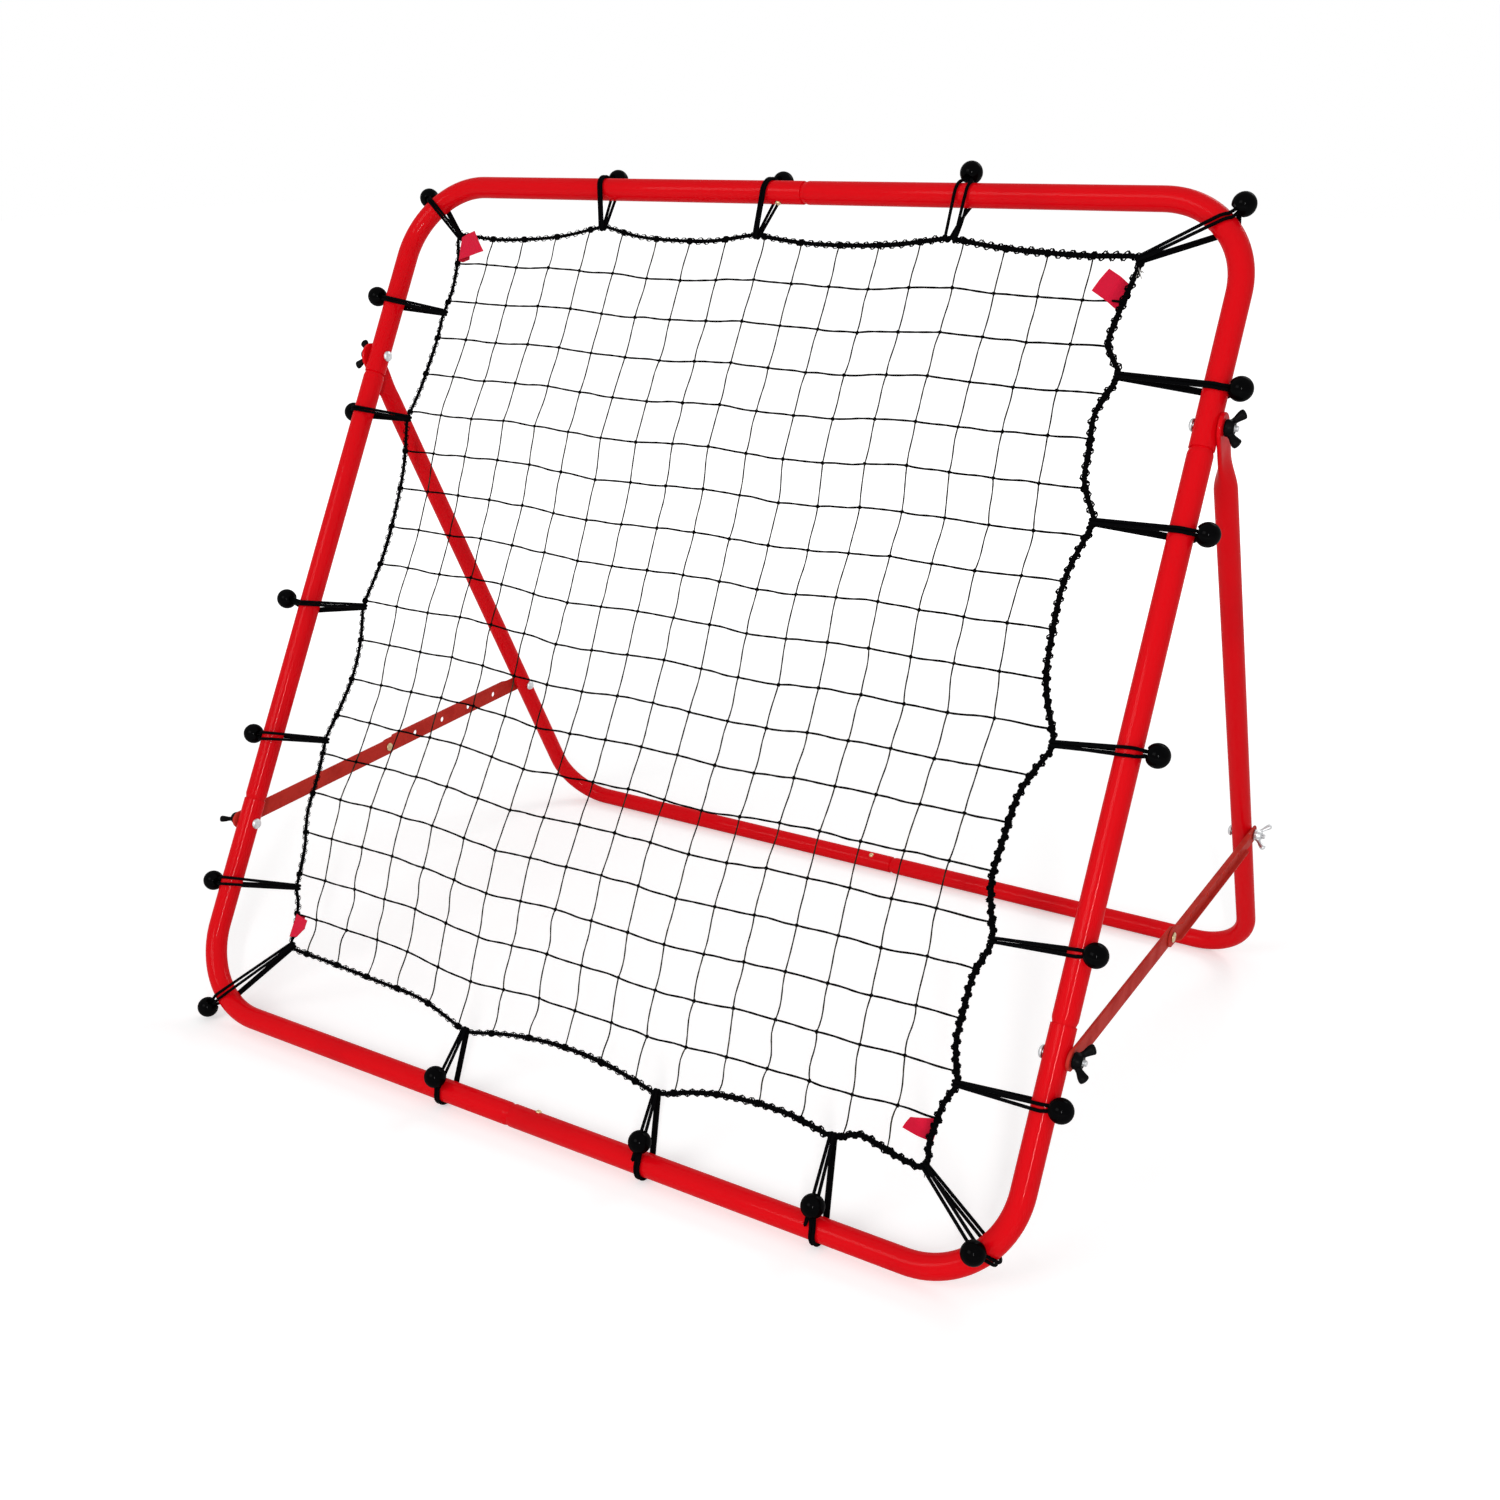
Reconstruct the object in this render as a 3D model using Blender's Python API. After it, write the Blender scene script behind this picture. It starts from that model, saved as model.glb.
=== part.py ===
# Rebounder net: a square tube frame leans back on a hinged rear frame, two perforated
# struts hold the two apart, and twenty ball bungees stretch a knotted net in the front frame.
# Metres, +Z up, +X to the viewer's right, +Y to the back. The origin is on the floor.
import math

import bmesh
import bpy
from mathutils import Matrix, Vector

# Front frame
FRAME_WIDTH = 1.000         # between the centre lines of the side tubes
FRAME_HEIGHT = 1.005        # between the centre lines of the top and bottom bars
FRAME_CORNER_R = 0.090
LEAN = math.radians(29.8)   # from upright, top to the back
TUBE_R = 0.012
TUBE_WALL = 0.0012
TUBE_SIDES = 12
BEND_STEPS = 5

# Joints where one tube's narrowed end plugs into the next tube
JOINT_BELOW_PIVOT = 0.021   # upper side joint to the rear frame's bolt, which locks it
JOINT_ABOVE_STRUT = 0.026   # lower side joint to the front strut bolt, which locks it
TOP_JOINT_X = 0.024
BOTTOM_JOINT_X = -0.034
SPIGOT_LENGTH = 0.042
SPIGOT_SHOULDER = 0.007     # length over which a tube narrows
BUTTON_SETBACK = 0.029      # snap button to the joint it locks

# Rear frame
LEG_LENGTH = 0.770          # pivot to the centre line of the rear bar
LEG_TILT = math.radians(26.292)  # from upright, foot to the back
REAR_R = 0.011
REAR_CORNER_R = 0.065
REAR_JOINT_X = 0.031
LEG_END = 0.020             # the flattened end above the pivot
LEG_FLAT = 0.038            # below the pivot, the flat runs this far
LEG_ROUND = 0.078           # and is a round tube again here
LEG_FLAT_T = 0.004
LEG_FLAT_HALF = 0.0155
LEG_SHOULDERS = ((0.0, 0.45), (0.004, 0.80), (0.011, 1.0))  # below the tip, share of the width

# Struts
STRUT_FRONT_UP = 0.212      # front strut bolt, up the front frame
STRUT_REAR_DOWN = 0.550     # rear strut bolt, down the leg from the pivot
STRUT_WIDTH = 0.020
STRUT_BAR_T = 0.003
STRUT_WEB_T = 0.002
STRUT_FLANGE = 0.006
STRUT_FLANGE_T = 0.0015
FLANGE_FROM_PIN = 0.010     # the flanges stop short of the centre pin and of the rear bolt
FLANGE_FROM_BOLT = 0.022
STRUT_END = 0.011           # past the last hole
HOLE_SPACING = 0.055
HOLE_STEPS = 5              # rear bolt to centre pin
HOLE_R = 0.0036
CUT_REACH = 0.020           # half the length of a hole's cutter

# Fasteners
BOLT_R = 0.003
BOLT_HEAD_R = 0.0062
BOLT_HEAD_T = 0.0042
BOLT_SIDES = 8
PIN_R = 0.0033
PIN_HEAD_R = 0.0052
NUT_BOSS_R = 0.0078
NUT_BOSS_T = 0.0085
NUT_WING_REACH = 0.0152
PLASTIC_WING_R = 0.0046     # half the width of a wing
METAL_WING_R = 0.0030
PIVOT_NUT_TURN = 0          # degrees from straight up the frame
STRUT_NUT_TURNS = {"left": 110, "right": 165}
BOLT_TAIL = 0.0035          # bolt showing past its nut

# Net, rope, tags and bungees
NET_COLUMNS = 17
NET_ROWS = 17
TWINE = 0.0020
ROPE_R = 0.003
ROPE_SIDES = 5
CORD_R = 0.0020
CORD_SIDES = 4
BALL_R = 0.0115
BALL_SIDES = 8
TURN_GAP = 0.0042           # of each elastic turn from the bungee's middle, over the tube
TAG_T = 0.0011

GAP = 0.0003                # between pieces that touch

# Each bungee: name, its place on the frame as a share of the width from the middle and a step
# up (0 bottom bar, 1 rear frame's bolt, 2 top bar), then from there in metres its rope point
# (across, up) and its ball (across, up, to the front), and the sag of the rope's span to the
# next bungee, as a share of the span's length
BUNGEES = (
    ("left_1", (-0.5, 1.333), (0.0820, -0.0129), (-0.0225, 0.0001, 0.0075), 0.095),
    ("left_2", (-0.5, 0.909), (0.0730, 0.0008), (-0.0225, -0.0002, 0.0075), 0.055),
    ("left_3", (-0.5, 0.607), (0.0840, 0.0081), (-0.0230, 0.0001, 0.0075), 0.080),
    ("left_4", (-0.5, 0.398), (0.0830, 0.0119), (-0.0225, -0.0001, 0.0075), 0.000),
    ("left_5", (-0.5, 0.172), (0.1010, 0.0203), (-0.0225, 0.0003, 0.0075), 0.060),
    ("corner_bottom_left", (-0.5, 0), (0.1170, 0.0920), (0.0180, -0.0010, 0.0040), 0.050),
    ("bottom_1", (-0.127, 0), (0.0070, 0.0660), (0.0000, 0.0135, 0.0205), 0.056),
    ("bottom_2", (0.124, 0), (-0.0020, 0.0700), (0.0005, 0.0205, 0.0145), 0.065),
    ("bottom_3", (0.317, 0), (-0.0030, 0.0850), (0.0000, 0.0205, 0.0145), 0.075),
    ("corner_bottom_right", (0.5, 0), (-0.0940, 0.0860), (-0.0230, 0.0320, 0.0260), 0.045),
    ("right_5", (0.5, 0.213), (-0.0840, -0.0050), (0.0225, 0.0000, 0.0075), 0.068),
    ("right_4", (0.5, 0.387), (-0.0830, -0.0103), (0.0225, -0.0003, 0.0075), 0.087),
    ("right_3", (0.5, 0.617), (-0.0710, -0.0068), (0.0230, 0.0002, 0.0075), 0.081),
    ("right_2", (0.5, 0.873), (-0.0840, 0.0002), (0.0225, 0.0002, 0.0075), 0.106),
    ("right_1", (0.5, 1), (-0.0940, 0.0410), (0.0225, 0.0360, 0.0075), 0.088),
    ("corner_top_right", (0.5, 2), (-0.1000, -0.0610), (-0.0130, -0.0060, 0.0040), 0.040),
    ("top_3", (0.207, 2), (-0.0030, -0.0470), (0.0000, 0.0255, 0.0010), 0.036),
    ("top_2", (-0.016, 2), (-0.0050, -0.0500), (0.0000, 0.0220, -0.0120), 0.050),
    ("top_1", (-0.232, 2), (0.0080, -0.0460), (0.0000, 0.0220, -0.0120), 0.044),
    ("corner_top_left", (-0.5, 2), (0.0740, -0.0630), (0.0060, -0.0120, -0.0030), 0.095),
)

# Each cloth tag: name, its corner likewise, its middle from there, width, height, turn in degrees
TAGS = (
    ("top_left", (-0.5, 2), (0.0935, -0.0785), 0.026, 0.026, -39),
    ("top_right", (0.5, 2), (-0.1205, -0.0880), 0.026, 0.024, -30),
    ("bottom_left", (-0.5, 0), (0.1200, 0.1180), 0.015, 0.021, -8),
    ("bottom_right", (0.5, 0), (-0.1040, 0.1200), 0.026, 0.020, 4),
)


# Worked out from the sizes above
TURN_STEP = 36                                   # degrees between an elastic turn's points
LOOP_R = (TUBE_R + CORD_R + GAP) / math.cos(math.radians(TURN_STEP / 2))
# The elastic under the bottom bar lifts it off the floor; its points are a turn step apart
BELOW = max(math.sin(math.radians(TURN_STEP * k) + LEAN) for k in range(3))
BASE_Z = (LOOP_R + CORD_R) * BELOW
PIVOT_Z = REAR_R + LEG_LENGTH * math.cos(LEG_TILT)
PIVOT_UP = (PIVOT_Z - BASE_Z) / math.cos(LEAN)   # up the front frame
PIVOT_Y = PIVOT_UP * math.sin(LEAN)
UPPER_JOINT = PIVOT_UP - JOINT_BELOW_PIVOT
LOWER_JOINT = STRUT_FRONT_UP + JOINT_ABOVE_STRUT
FOOT_Y = PIVOT_Y + LEG_LENGTH * math.sin(LEG_TILT)


def on_frame(place, offset):
    """A point in the front frame's plane, from a table's place on it and an offset in metres."""
    share, step = place
    up = min(step, 1) * PIVOT_UP + max(step - 1, 0) * (FRAME_HEIGHT - PIVOT_UP)
    return (share * FRAME_WIDTH + offset[0], up + offset[1], *offset[2:])


ROPE_POINTS = [on_frame(at, rope_offset) for _, at, rope_offset, _, _ in BUNGEES]
BALLS = [on_frame(at, ball_offset) for _, at, _, ball_offset, _ in BUNGEES]
FRONT_EDGE = min(up * math.sin(LEAN) - front * math.cos(LEAN) for _, up, front in BALLS) - BALL_R
DEPTH_SHIFT = -(FRONT_EDGE + FOOT_Y + REAR_R) / 2  # puts the origin under the middle
LEG_X = FRAME_WIDTH / 2 + TUBE_R + GAP + LEG_FLAT_T / 2


def clear_scene():
    for item in list(bpy.data.objects):
        bpy.data.objects.remove(item)


def material(name, color, roughness, metallic=0.0):
    mat = bpy.data.materials.new(name)
    mat.use_nodes = True
    shader = mat.node_tree.nodes["Principled BSDF"]
    shader.inputs["Base Color"].default_value = (*color, 1.0)
    shader.inputs["Roughness"].default_value = roughness
    shader.inputs["Metallic"].default_value = metallic
    return mat


def datum(name, location, turn_x):
    """An empty whose local Y runs up a frame and whose local Z faces its front."""
    item = bpy.data.objects.new(name, None)
    bpy.context.collection.objects.link(item)
    item.location = location
    item.rotation_euler = (turn_x, 0.0, 0.0)
    return item


def add_object(name, bm, mat, parent, smooth_deg=35.0):
    bmesh.ops.recalc_face_normals(bm, faces=bm.faces)
    mesh = bpy.data.meshes.new(name)
    bm.to_mesh(mesh)
    bm.free()
    mesh.shade_smooth()
    mesh.set_sharp_from_angle(angle=math.radians(smooth_deg))
    item = bpy.data.objects.new(name, mesh)
    bpy.context.collection.objects.link(item)
    item.parent = parent
    mesh.materials.append(mat)
    return item


def loft(bm, rings, closed=False):
    """Skins rings of equal count; an open run is capped at both ends."""
    loops = [[bm.verts.new(p) for p in ring] for ring in rings]
    count = len(rings[0])
    pairs = list(zip(loops, loops[1:]))
    if closed:
        pairs.append((loops[-1], loops[0]))
    for low, high in pairs:
        for k in range(count):
            m = (k + 1) % count
            bm.faces.new((low[k], low[m], high[m], high[k]))
    if not closed:
        bm.faces.new(loops[0][::-1])
        bm.faces.new(loops[-1])


def ring(centre, across, other, radius, sides, radius_other=None):
    radius_other = radius if radius_other is None else radius_other
    points = []
    for k in range(sides):
        angle = 2 * math.pi * k / sides
        point = centre + across * (radius * math.cos(angle))
        points.append(point + other * (radius_other * math.sin(angle)))
    return points


def lathe(bm, origin, axis, profile, sides, closed=False):
    """Turns a profile of (distance along the axis, radius) round the axis."""
    axis = Vector(axis).normalized()
    seed = Vector((0, 0, 1)) if abs(axis.z) < 0.9 else Vector((0, 1, 0))
    across = axis.cross(seed).normalized()
    other = axis.cross(across)
    rings = [ring(Vector(origin) + axis * a, across, other, r, sides) for a, r in profile]
    loft(bm, rings, closed)


def cylinder(bm, start, end, radius, sides=BOLT_SIDES):
    start, end = Vector(start), Vector(end)
    lathe(bm, start, end - start, ((0.0, radius), ((end - start).length, radius)), sides)


def combine(target, bm, operation):
    """Applies an exact Boolean with the bodies in bm, which are in the target's own axes."""
    bmesh.ops.recalc_face_normals(bm, faces=bm.faces)
    mesh = bpy.data.meshes.new(target.name + "_tool")
    bm.to_mesh(mesh)
    bm.free()
    tool = bpy.data.objects.new(target.name + "_tool", mesh)
    bpy.context.collection.objects.link(tool)
    tool.parent = target.parent
    tool.location = target.location
    tool.rotation_euler = target.rotation_euler
    tool.hide_render = True
    tool.display_type = "WIRE"
    cut = target.modifiers.new("shape", "BOOLEAN")
    cut.operation = operation
    cut.object = tool
    return tool


def bend(path, centre, radius, start_deg, end_deg, steps):
    """Adds the points of an arc in a frame's plane to a path."""
    for k in range(steps + 1):
        angle = math.radians(start_deg + (end_deg - start_deg) * k / steps)
        x = centre[0] + radius * math.cos(angle)
        path.append(Vector((x, centre[1] + radius * math.sin(angle), 0)))


def tube_rings(points, radii, sides=TUBE_SIDES):
    """Rings square to a path that lies in its frame's plane."""
    normal = Vector((0, 0, 1))
    rings = []
    for k, point in enumerate(points):
        before = points[max(k - 1, 0)]
        after = points[min(k + 1, len(points) - 1)]
        tangent = (after - before).normalized()
        across = tangent.cross(normal)
        rings.append(ring(point, across, normal, radii[k], sides))
    return rings


# Front frame tubes


def corner_tube(name, side, top, mat, parent):
    """An L of tube from the joint in the top or bottom bar, round the corner, to a side joint."""
    bar_y = FRAME_HEIGHT if top else 0.0
    bar_joint = TOP_JOINT_X if top else BOTTOM_JOINT_X
    # the right tube plugs into the left one at the top, and the other way round below
    has_spigot = (side > 0) == top
    inward = -1 if top else 1
    side_end = UPPER_JOINT if top else LOWER_JOINT
    half = FRAME_WIDTH / 2
    centre = (side * (half - FRAME_CORNER_R), bar_y + inward * FRAME_CORNER_R)
    start = 90.0 if top else -90.0
    end = 0.0 if side > 0 else (180.0 if top else -180.0)
    arc = []
    bend(arc, centre, FRAME_CORNER_R, start, end, BEND_STEPS)
    first = Vector((bar_joint, bar_y, 0))
    last = Vector((side * half, side_end, 0))
    if has_spigot:
        neck = TUBE_R - TUBE_WALL - GAP
        joint_end = first - Vector((side * SPIGOT_LENGTH, 0, 0))
        shoulder = first + Vector((side * SPIGOT_SHOULDER, 0, 0))
        path = [joint_end, first, shoulder] + arc + [last]
        radii = [neck, neck] + [TUBE_R] * (len(arc) + 2)
    else:
        path = [first + Vector((side * GAP, 0, 0))] + arc + [last]
        radii = [TUBE_R] * len(path)
    rings = tube_rings(path, radii)
    rings += tube_rings(path, [r - TUBE_WALL for r in radii])[::-1]
    bm = bmesh.new()
    loft(bm, rings, closed=True)
    tube = add_object(name, bm, mat, parent)
    bm = bmesh.new()
    hole_y = PIVOT_UP if top else STRUT_FRONT_UP
    cross_hole(bm, side * half, hole_y)
    button_x = button_place(top)
    cylinder(bm, (button_x, bar_y, 0), (button_x, bar_y + inward * CUT_REACH, 0), PIN_R + GAP)
    combine(tube, bm, "DIFFERENCE")
    return tube


def cross_hole(bm, x, up):
    """A bolt hole straight across a tube."""
    cylinder(bm, (x - CUT_REACH, up, 0), (x + CUT_REACH, up, 0), BOLT_R + GAP)


def button_place(top):
    return TOP_JOINT_X - BUTTON_SETBACK if top else BOTTOM_JOINT_X + BUTTON_SETBACK


def side_tube(name, side, mat, parent):
    """A straight tube, narrowed at both ends to plug into the corner tubes."""
    x = side * FRAME_WIDTH / 2
    neck = TUBE_R - TUBE_WALL - GAP
    heights = (
        LOWER_JOINT - SPIGOT_LENGTH,
        LOWER_JOINT + GAP,
        LOWER_JOINT + SPIGOT_SHOULDER,
        UPPER_JOINT - SPIGOT_SHOULDER,
        UPPER_JOINT - GAP,
        UPPER_JOINT + SPIGOT_LENGTH,
    )
    radii = (neck, neck, TUBE_R, TUBE_R, neck, neck)
    points = [Vector((x, h, 0)) for h in heights]
    rings = tube_rings(points, radii)
    rings += tube_rings(points, [r - TUBE_WALL for r in radii])[::-1]
    bm = bmesh.new()
    loft(bm, rings, closed=True)
    tube = add_object(name, bm, mat, parent)
    bm = bmesh.new()
    for hole_y in (PIVOT_UP, STRUT_FRONT_UP):
        cross_hole(bm, x, hole_y)
    combine(tube, bm, "DIFFERENCE")
    return tube


# Rear frame


def rear_leg(name, side, mat, parent):
    """A leg with a flattened top end, round the corner into its half of the rear bar."""
    x = side * LEG_X
    has_spigot = side > 0
    foot = -LEG_LENGTH
    half_flat = LEG_FLAT_T / 2
    # distance up the leg, half width, half thickness, and 1 where flat or 0 where round
    ends = [(LEG_END - y, LEG_FLAT_HALF * share, half_flat, 1) for y, share in LEG_SHOULDERS]
    ends.append((-LEG_FLAT, LEG_FLAT_HALF, half_flat, 1))
    halfway = -(LEG_FLAT + LEG_ROUND) / 2
    ends.append((halfway, (LEG_FLAT_HALF + REAR_R) / 2, (half_flat + REAR_R) / 2, 0.35))
    rings = [pressed_ring(Vector((x, y, 0)), wide, thick, flat) for y, wide, thick, flat in ends]
    centre = (side * (LEG_X - REAR_CORNER_R), foot + REAR_CORNER_R)
    arc = []
    start, end = (0.0, -90.0) if side > 0 else (180.0, 270.0)
    bend(arc, centre, REAR_CORNER_R, start, end, BEND_STEPS)
    joint = Vector((REAR_JOINT_X, foot, 0))
    shoulder = joint + Vector((side * SPIGOT_SHOULDER, 0, 0))
    inside = REAR_R - TUBE_WALL
    if has_spigot:
        tail = [shoulder, joint, joint - Vector((side * SPIGOT_LENGTH, 0, 0))]
        tail_r = [REAR_R, inside - GAP, inside - GAP]
    else:
        tail = [joint - Vector((GAP, 0, 0))]
        tail_r = [REAR_R]
    outer = [Vector((x, -LEG_ROUND, 0))] + arc + tail
    outer_r = [REAR_R] * (len(arc) + 1) + tail_r
    bore = [Vector((x, -LEG_ROUND - SPIGOT_SHOULDER, 0))] + arc + tail
    bore_r = [inside] * (len(arc) + 1) + [r - TUBE_WALL for r in tail_r]
    rings += tube_rings(outer, outer_r)
    rings += tube_rings(bore, bore_r)[::-1]
    bm = bmesh.new()
    loft(bm, rings)
    leg = add_object(name, bm, mat, parent)
    bm = bmesh.new()
    cross_hole(bm, x, 0)
    cross_hole(bm, x, -STRUT_REAR_DOWN)
    button_x = REAR_JOINT_X - BUTTON_SETBACK
    cylinder(bm, (button_x, foot, 0), (button_x, foot + CUT_REACH, 0), PIN_R + GAP)
    combine(leg, bm, "DIFFERENCE")
    return leg


def pressed_ring(centre, wide, thick, flat):
    """One section of a leg's pressed end; its faces are truly flat where flat is 1."""
    points = []
    for k in range(TUBE_SIDES):
        angle = 2 * math.pi * k / TUBE_SIDES
        round_x = math.cos(angle)
        flat_x = 0.0 if abs(round_x) < 0.1 else math.copysign(1.0, round_x)
        x = -thick * (flat * flat_x + (1 - flat) * round_x)
        points.append(centre + Vector((x, 0, wide * math.sin(angle))))
    return points


# Struts and fasteners


def strut_places(side):
    """The strut bolts' points on the plane where the two halves meet, front then rear."""
    front_x = FRAME_WIDTH / 2 + TUBE_R + GAP + STRUT_BAR_T + GAP / 2
    rear_x = LEG_X + REAR_R + GAP / 2
    front_y = STRUT_FRONT_UP * math.sin(LEAN)
    front_z = BASE_Z + STRUT_FRONT_UP * math.cos(LEAN)
    rear_y = PIVOT_Y + STRUT_REAR_DOWN * math.sin(LEG_TILT)
    rear_z = PIVOT_Z - STRUT_REAR_DOWN * math.cos(LEG_TILT)
    return Vector((side * front_x, front_y, front_z)), Vector((side * rear_x, rear_y, rear_z))


def strut_datum(name, side, at_front):
    """An empty on a strut bolt, with its local Y along the strut to the back."""
    front, rear = strut_places(side)
    run = (rear - front).normalized()
    out = (Vector((1, 0, 0)) - run * run.x).normalized()
    turn = Matrix((out, run, out.cross(run))).transposed()
    item = bpy.data.objects.new(name, None)
    bpy.context.collection.objects.link(item)
    item.location = (front if at_front else rear) + Vector((0, DEPTH_SHIFT, 0))
    item.rotation_euler = turn.to_euler()
    return item


def strip(bm, side, inner, outer, start, end):
    """A flat strip with round ends; inner and outer are distances out from the meeting plane."""
    half = STRUT_WIDTH / 2
    outline = []
    for k in range(7):
        angle = math.pi * (0.5 + k / 6)
        outline.append((start + half + half * math.cos(angle), half * math.sin(angle)))
    for k in range(7):
        angle = math.pi * (-0.5 + k / 6)
        outline.append((end - half + half * math.cos(angle), half * math.sin(angle)))
    rings = [[Vector((side * x, y, z)) for y, z in outline] for x in (inner, outer)]
    loft(bm, rings)


def box(bm, low, high):
    low, high = Vector(low), Vector(high)
    matrix = Matrix.Translation((low + high) / 2) @ Matrix.Diagonal((*(high - low), 1.0))
    bmesh.ops.create_cube(bm, size=1.0, matrix=matrix)


def strut_holes(side, places):
    bm = bmesh.new()
    for y in places:
        cylinder(bm, (side * -CUT_REACH, y, 0), (side * CUT_REACH, y, 0), HOLE_R)
    return bm


def strut_front(name, side, length, mat, parent):
    bm = bmesh.new()
    strip(bm, side, -GAP / 2 - STRUT_BAR_T, -GAP / 2, -STRUT_END, length + STRUT_END)
    bar = add_object(name, bm, mat, parent)
    combine(bar, strut_holes(side, (0.0, length)), "DIFFERENCE")
    return bar


def strut_rear(name, side, mat, parent):
    length = HOLE_SPACING * HOLE_STEPS
    edge = STRUT_WIDTH / 2 - 0.0002
    bm = bmesh.new()
    strip(bm, side, GAP / 2, GAP / 2 + STRUT_WEB_T, -length - STRUT_END, STRUT_END)
    bar = add_object(name, bm, mat, parent)
    for way in (-1, 1):
        bm = bmesh.new()
        low = (side * (GAP / 2 + STRUT_WEB_T / 2), -length + FLANGE_FROM_PIN, way * edge)
        foot = way * (edge - STRUT_FLANGE_T)
        high = (side * (GAP / 2 + STRUT_FLANGE), -FLANGE_FROM_BOLT, foot)
        corners = [sorted(pair) for pair in zip(low, high)]
        box(bm, [c[0] for c in corners], [c[1] for c in corners])
        combine(bar, bm, "UNION")
    places = [-k * HOLE_SPACING for k in range(HOLE_STEPS + 1)]
    combine(bar, strut_holes(side, places), "DIFFERENCE")
    return bar


def bolt(name, side, head_x, tail_x, up, mat, parent):
    """A round-headed bolt across the object, with its head inside."""
    length = tail_x - head_x
    profile = (
        (-BOLT_HEAD_T, BOLT_HEAD_R * 0.45),
        (-BOLT_HEAD_T * 0.62, BOLT_HEAD_R * 0.84),
        (0.0, BOLT_HEAD_R),
        (0.0, BOLT_R),
        (length - 0.0006, BOLT_R),
        (length, BOLT_R - 0.0006),
    )
    bm = bmesh.new()
    lathe(bm, (side * head_x, up, 0), (side, 0, 0), profile, BOLT_SIDES)
    return add_object(name, bm, mat, parent)


def pin_half(name, side, out, mat, parent, place_y):
    """One half of a centre pin: a domed head on one strut half, cut off at the meeting plane."""
    thickness = STRUT_WEB_T if out > 0 else STRUT_BAR_T
    face = GAP / 2 + thickness + GAP
    profile = (
        (GAP / 2 + 0.0002, PIN_R),
        (face, PIN_R),
        (face, PIN_HEAD_R),
        (face + 0.0012, PIN_HEAD_R * 0.85),
        (face + 0.0020, PIN_HEAD_R * 0.4),
    )
    bm = bmesh.new()
    lathe(bm, (0, place_y, 0), (side * out, 0, 0), profile, BOLT_SIDES)
    return add_object(name, bm, mat, parent)


def wing_nut(name, side, base_x, up, turn_deg, wing_r, mat, parent):
    """A wing nut on its bolt; its own origin is on the bolt's axis."""
    out = Vector((side, 0, 0))
    bore = BOLT_R + GAP
    profile = (
        (0.0, NUT_BOSS_R),
        (NUT_BOSS_T * 0.45, NUT_BOSS_R),
        (NUT_BOSS_T, NUT_BOSS_R * 0.78),
        (NUT_BOSS_T, bore),
        (0.0, bore),
    )
    bm = bmesh.new()
    lathe(bm, (0, 0, 0), out, profile, BOLT_SIDES, closed=True)
    nut = add_object(name, bm, mat, parent)
    nut.location = (side * base_x, up, 0)
    # distance out and distance from the axis, as shares of the wing's reach, then thickness
    wing = (
        (0.29, 0.45, 0.62),
        (0.45, 0.62, 0.80),
        (0.62, 0.80, 0.95),
        (0.84, 0.94, 1.00),
        (0.96, 1.00, 0.55),
    )
    for half_turn in (0, 180):
        angle = math.radians(turn_deg + half_turn)
        radial = Vector((0, math.cos(angle), math.sin(angle)))
        flat = out.cross(radial)
        points = [(out * a + radial * r) * NUT_WING_REACH for a, r, _ in wing]
        rings = []
        for k, point in enumerate(points):
            tangent = (points[min(k + 1, len(points) - 1)] - points[max(k - 1, 0)]).normalized()
            size = wing_r * wing[k][2]
            rings.append(ring(point, tangent.cross(flat), flat, size, 6, size * 0.75))
        bm = bmesh.new()
        loft(bm, rings)
        combine(nut, bm, "UNION")
    return nut


def snap_button(name, x, bar_y, inward, surface, mat, parent):
    """A spring button standing in its hole in the outer tube, on the inner side of the frame."""
    profile = ((-0.005, PIN_R), (0.0004, PIN_R), (0.0016, PIN_R * 0.75), (0.0022, PIN_R * 0.35))
    bm = bmesh.new()
    lathe(bm, (x, bar_y + inward * surface, 0), (0, inward, 0), profile, BOLT_SIDES)
    return add_object(name, bm, mat, parent)


# Net, border rope, tags and bungees


def pull_of(rope_place, ball_place):
    """The way a bungee pulls, from the tube to the rope."""
    centre = frame_point_near(ball_place)[0]
    return (Vector(rope_place) - centre).normalized()


def rope_bend(index):
    """The two ends of the short straight on which a bungee pulls at the border rope."""
    rope_place = ROPE_POINTS[index % len(BUNGEES)]
    along = pull_of(rope_place, BALLS[index % len(BUNGEES)])
    half = Vector((along.y, -along.x)) * (2 * CORD_R + GAP)
    return Vector(rope_place) - half, Vector(rope_place) + half


def rope_span(index):
    """The rope from one bungee to the next, sagging toward the middle of the net."""
    start, end = rope_bend(index)[1], rope_bend(index + 1)[0]
    run = end - start
    inward = Vector((-run.y, run.x))
    sag = BUNGEES[index % len(BUNGEES)][-1]
    return [start + run * t + inward * (sag * 4 * t * (1 - t)) for t in (0, 0.25, 0.5, 0.75, 1)]


def border_rope(name, mat, parent):
    path = []
    for index in range(len(BUNGEES)):
        path += [Vector((*point, 0)) for point in rope_span(index)]
    normal = Vector((0, 0, 1))
    rings = []
    for k, point in enumerate(path):
        into = (point - path[k - 1]).normalized()
        away = (path[(k + 1) % len(path)] - point).normalized()
        tangent = (into + away).normalized()
        rings.append(ring(point, tangent.cross(normal), normal, ROPE_R, ROPE_SIDES))
    bm = bmesh.new()
    loft(bm, rings, closed=True)
    return add_object(name, bm, mat, parent)


def selvedge(first, last):
    """The net's edge: past the rope's lowest point in each span, just clear of the rope."""
    places = []
    for index in range(first, last):
        span = rope_span(index)
        run = span[-1] - span[0]
        inward = Vector((-run.y, run.x)).normalized()
        places.append(span[2] + inward * (ROPE_R + TWINE / 2 + 3 * GAP))
    return places


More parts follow.
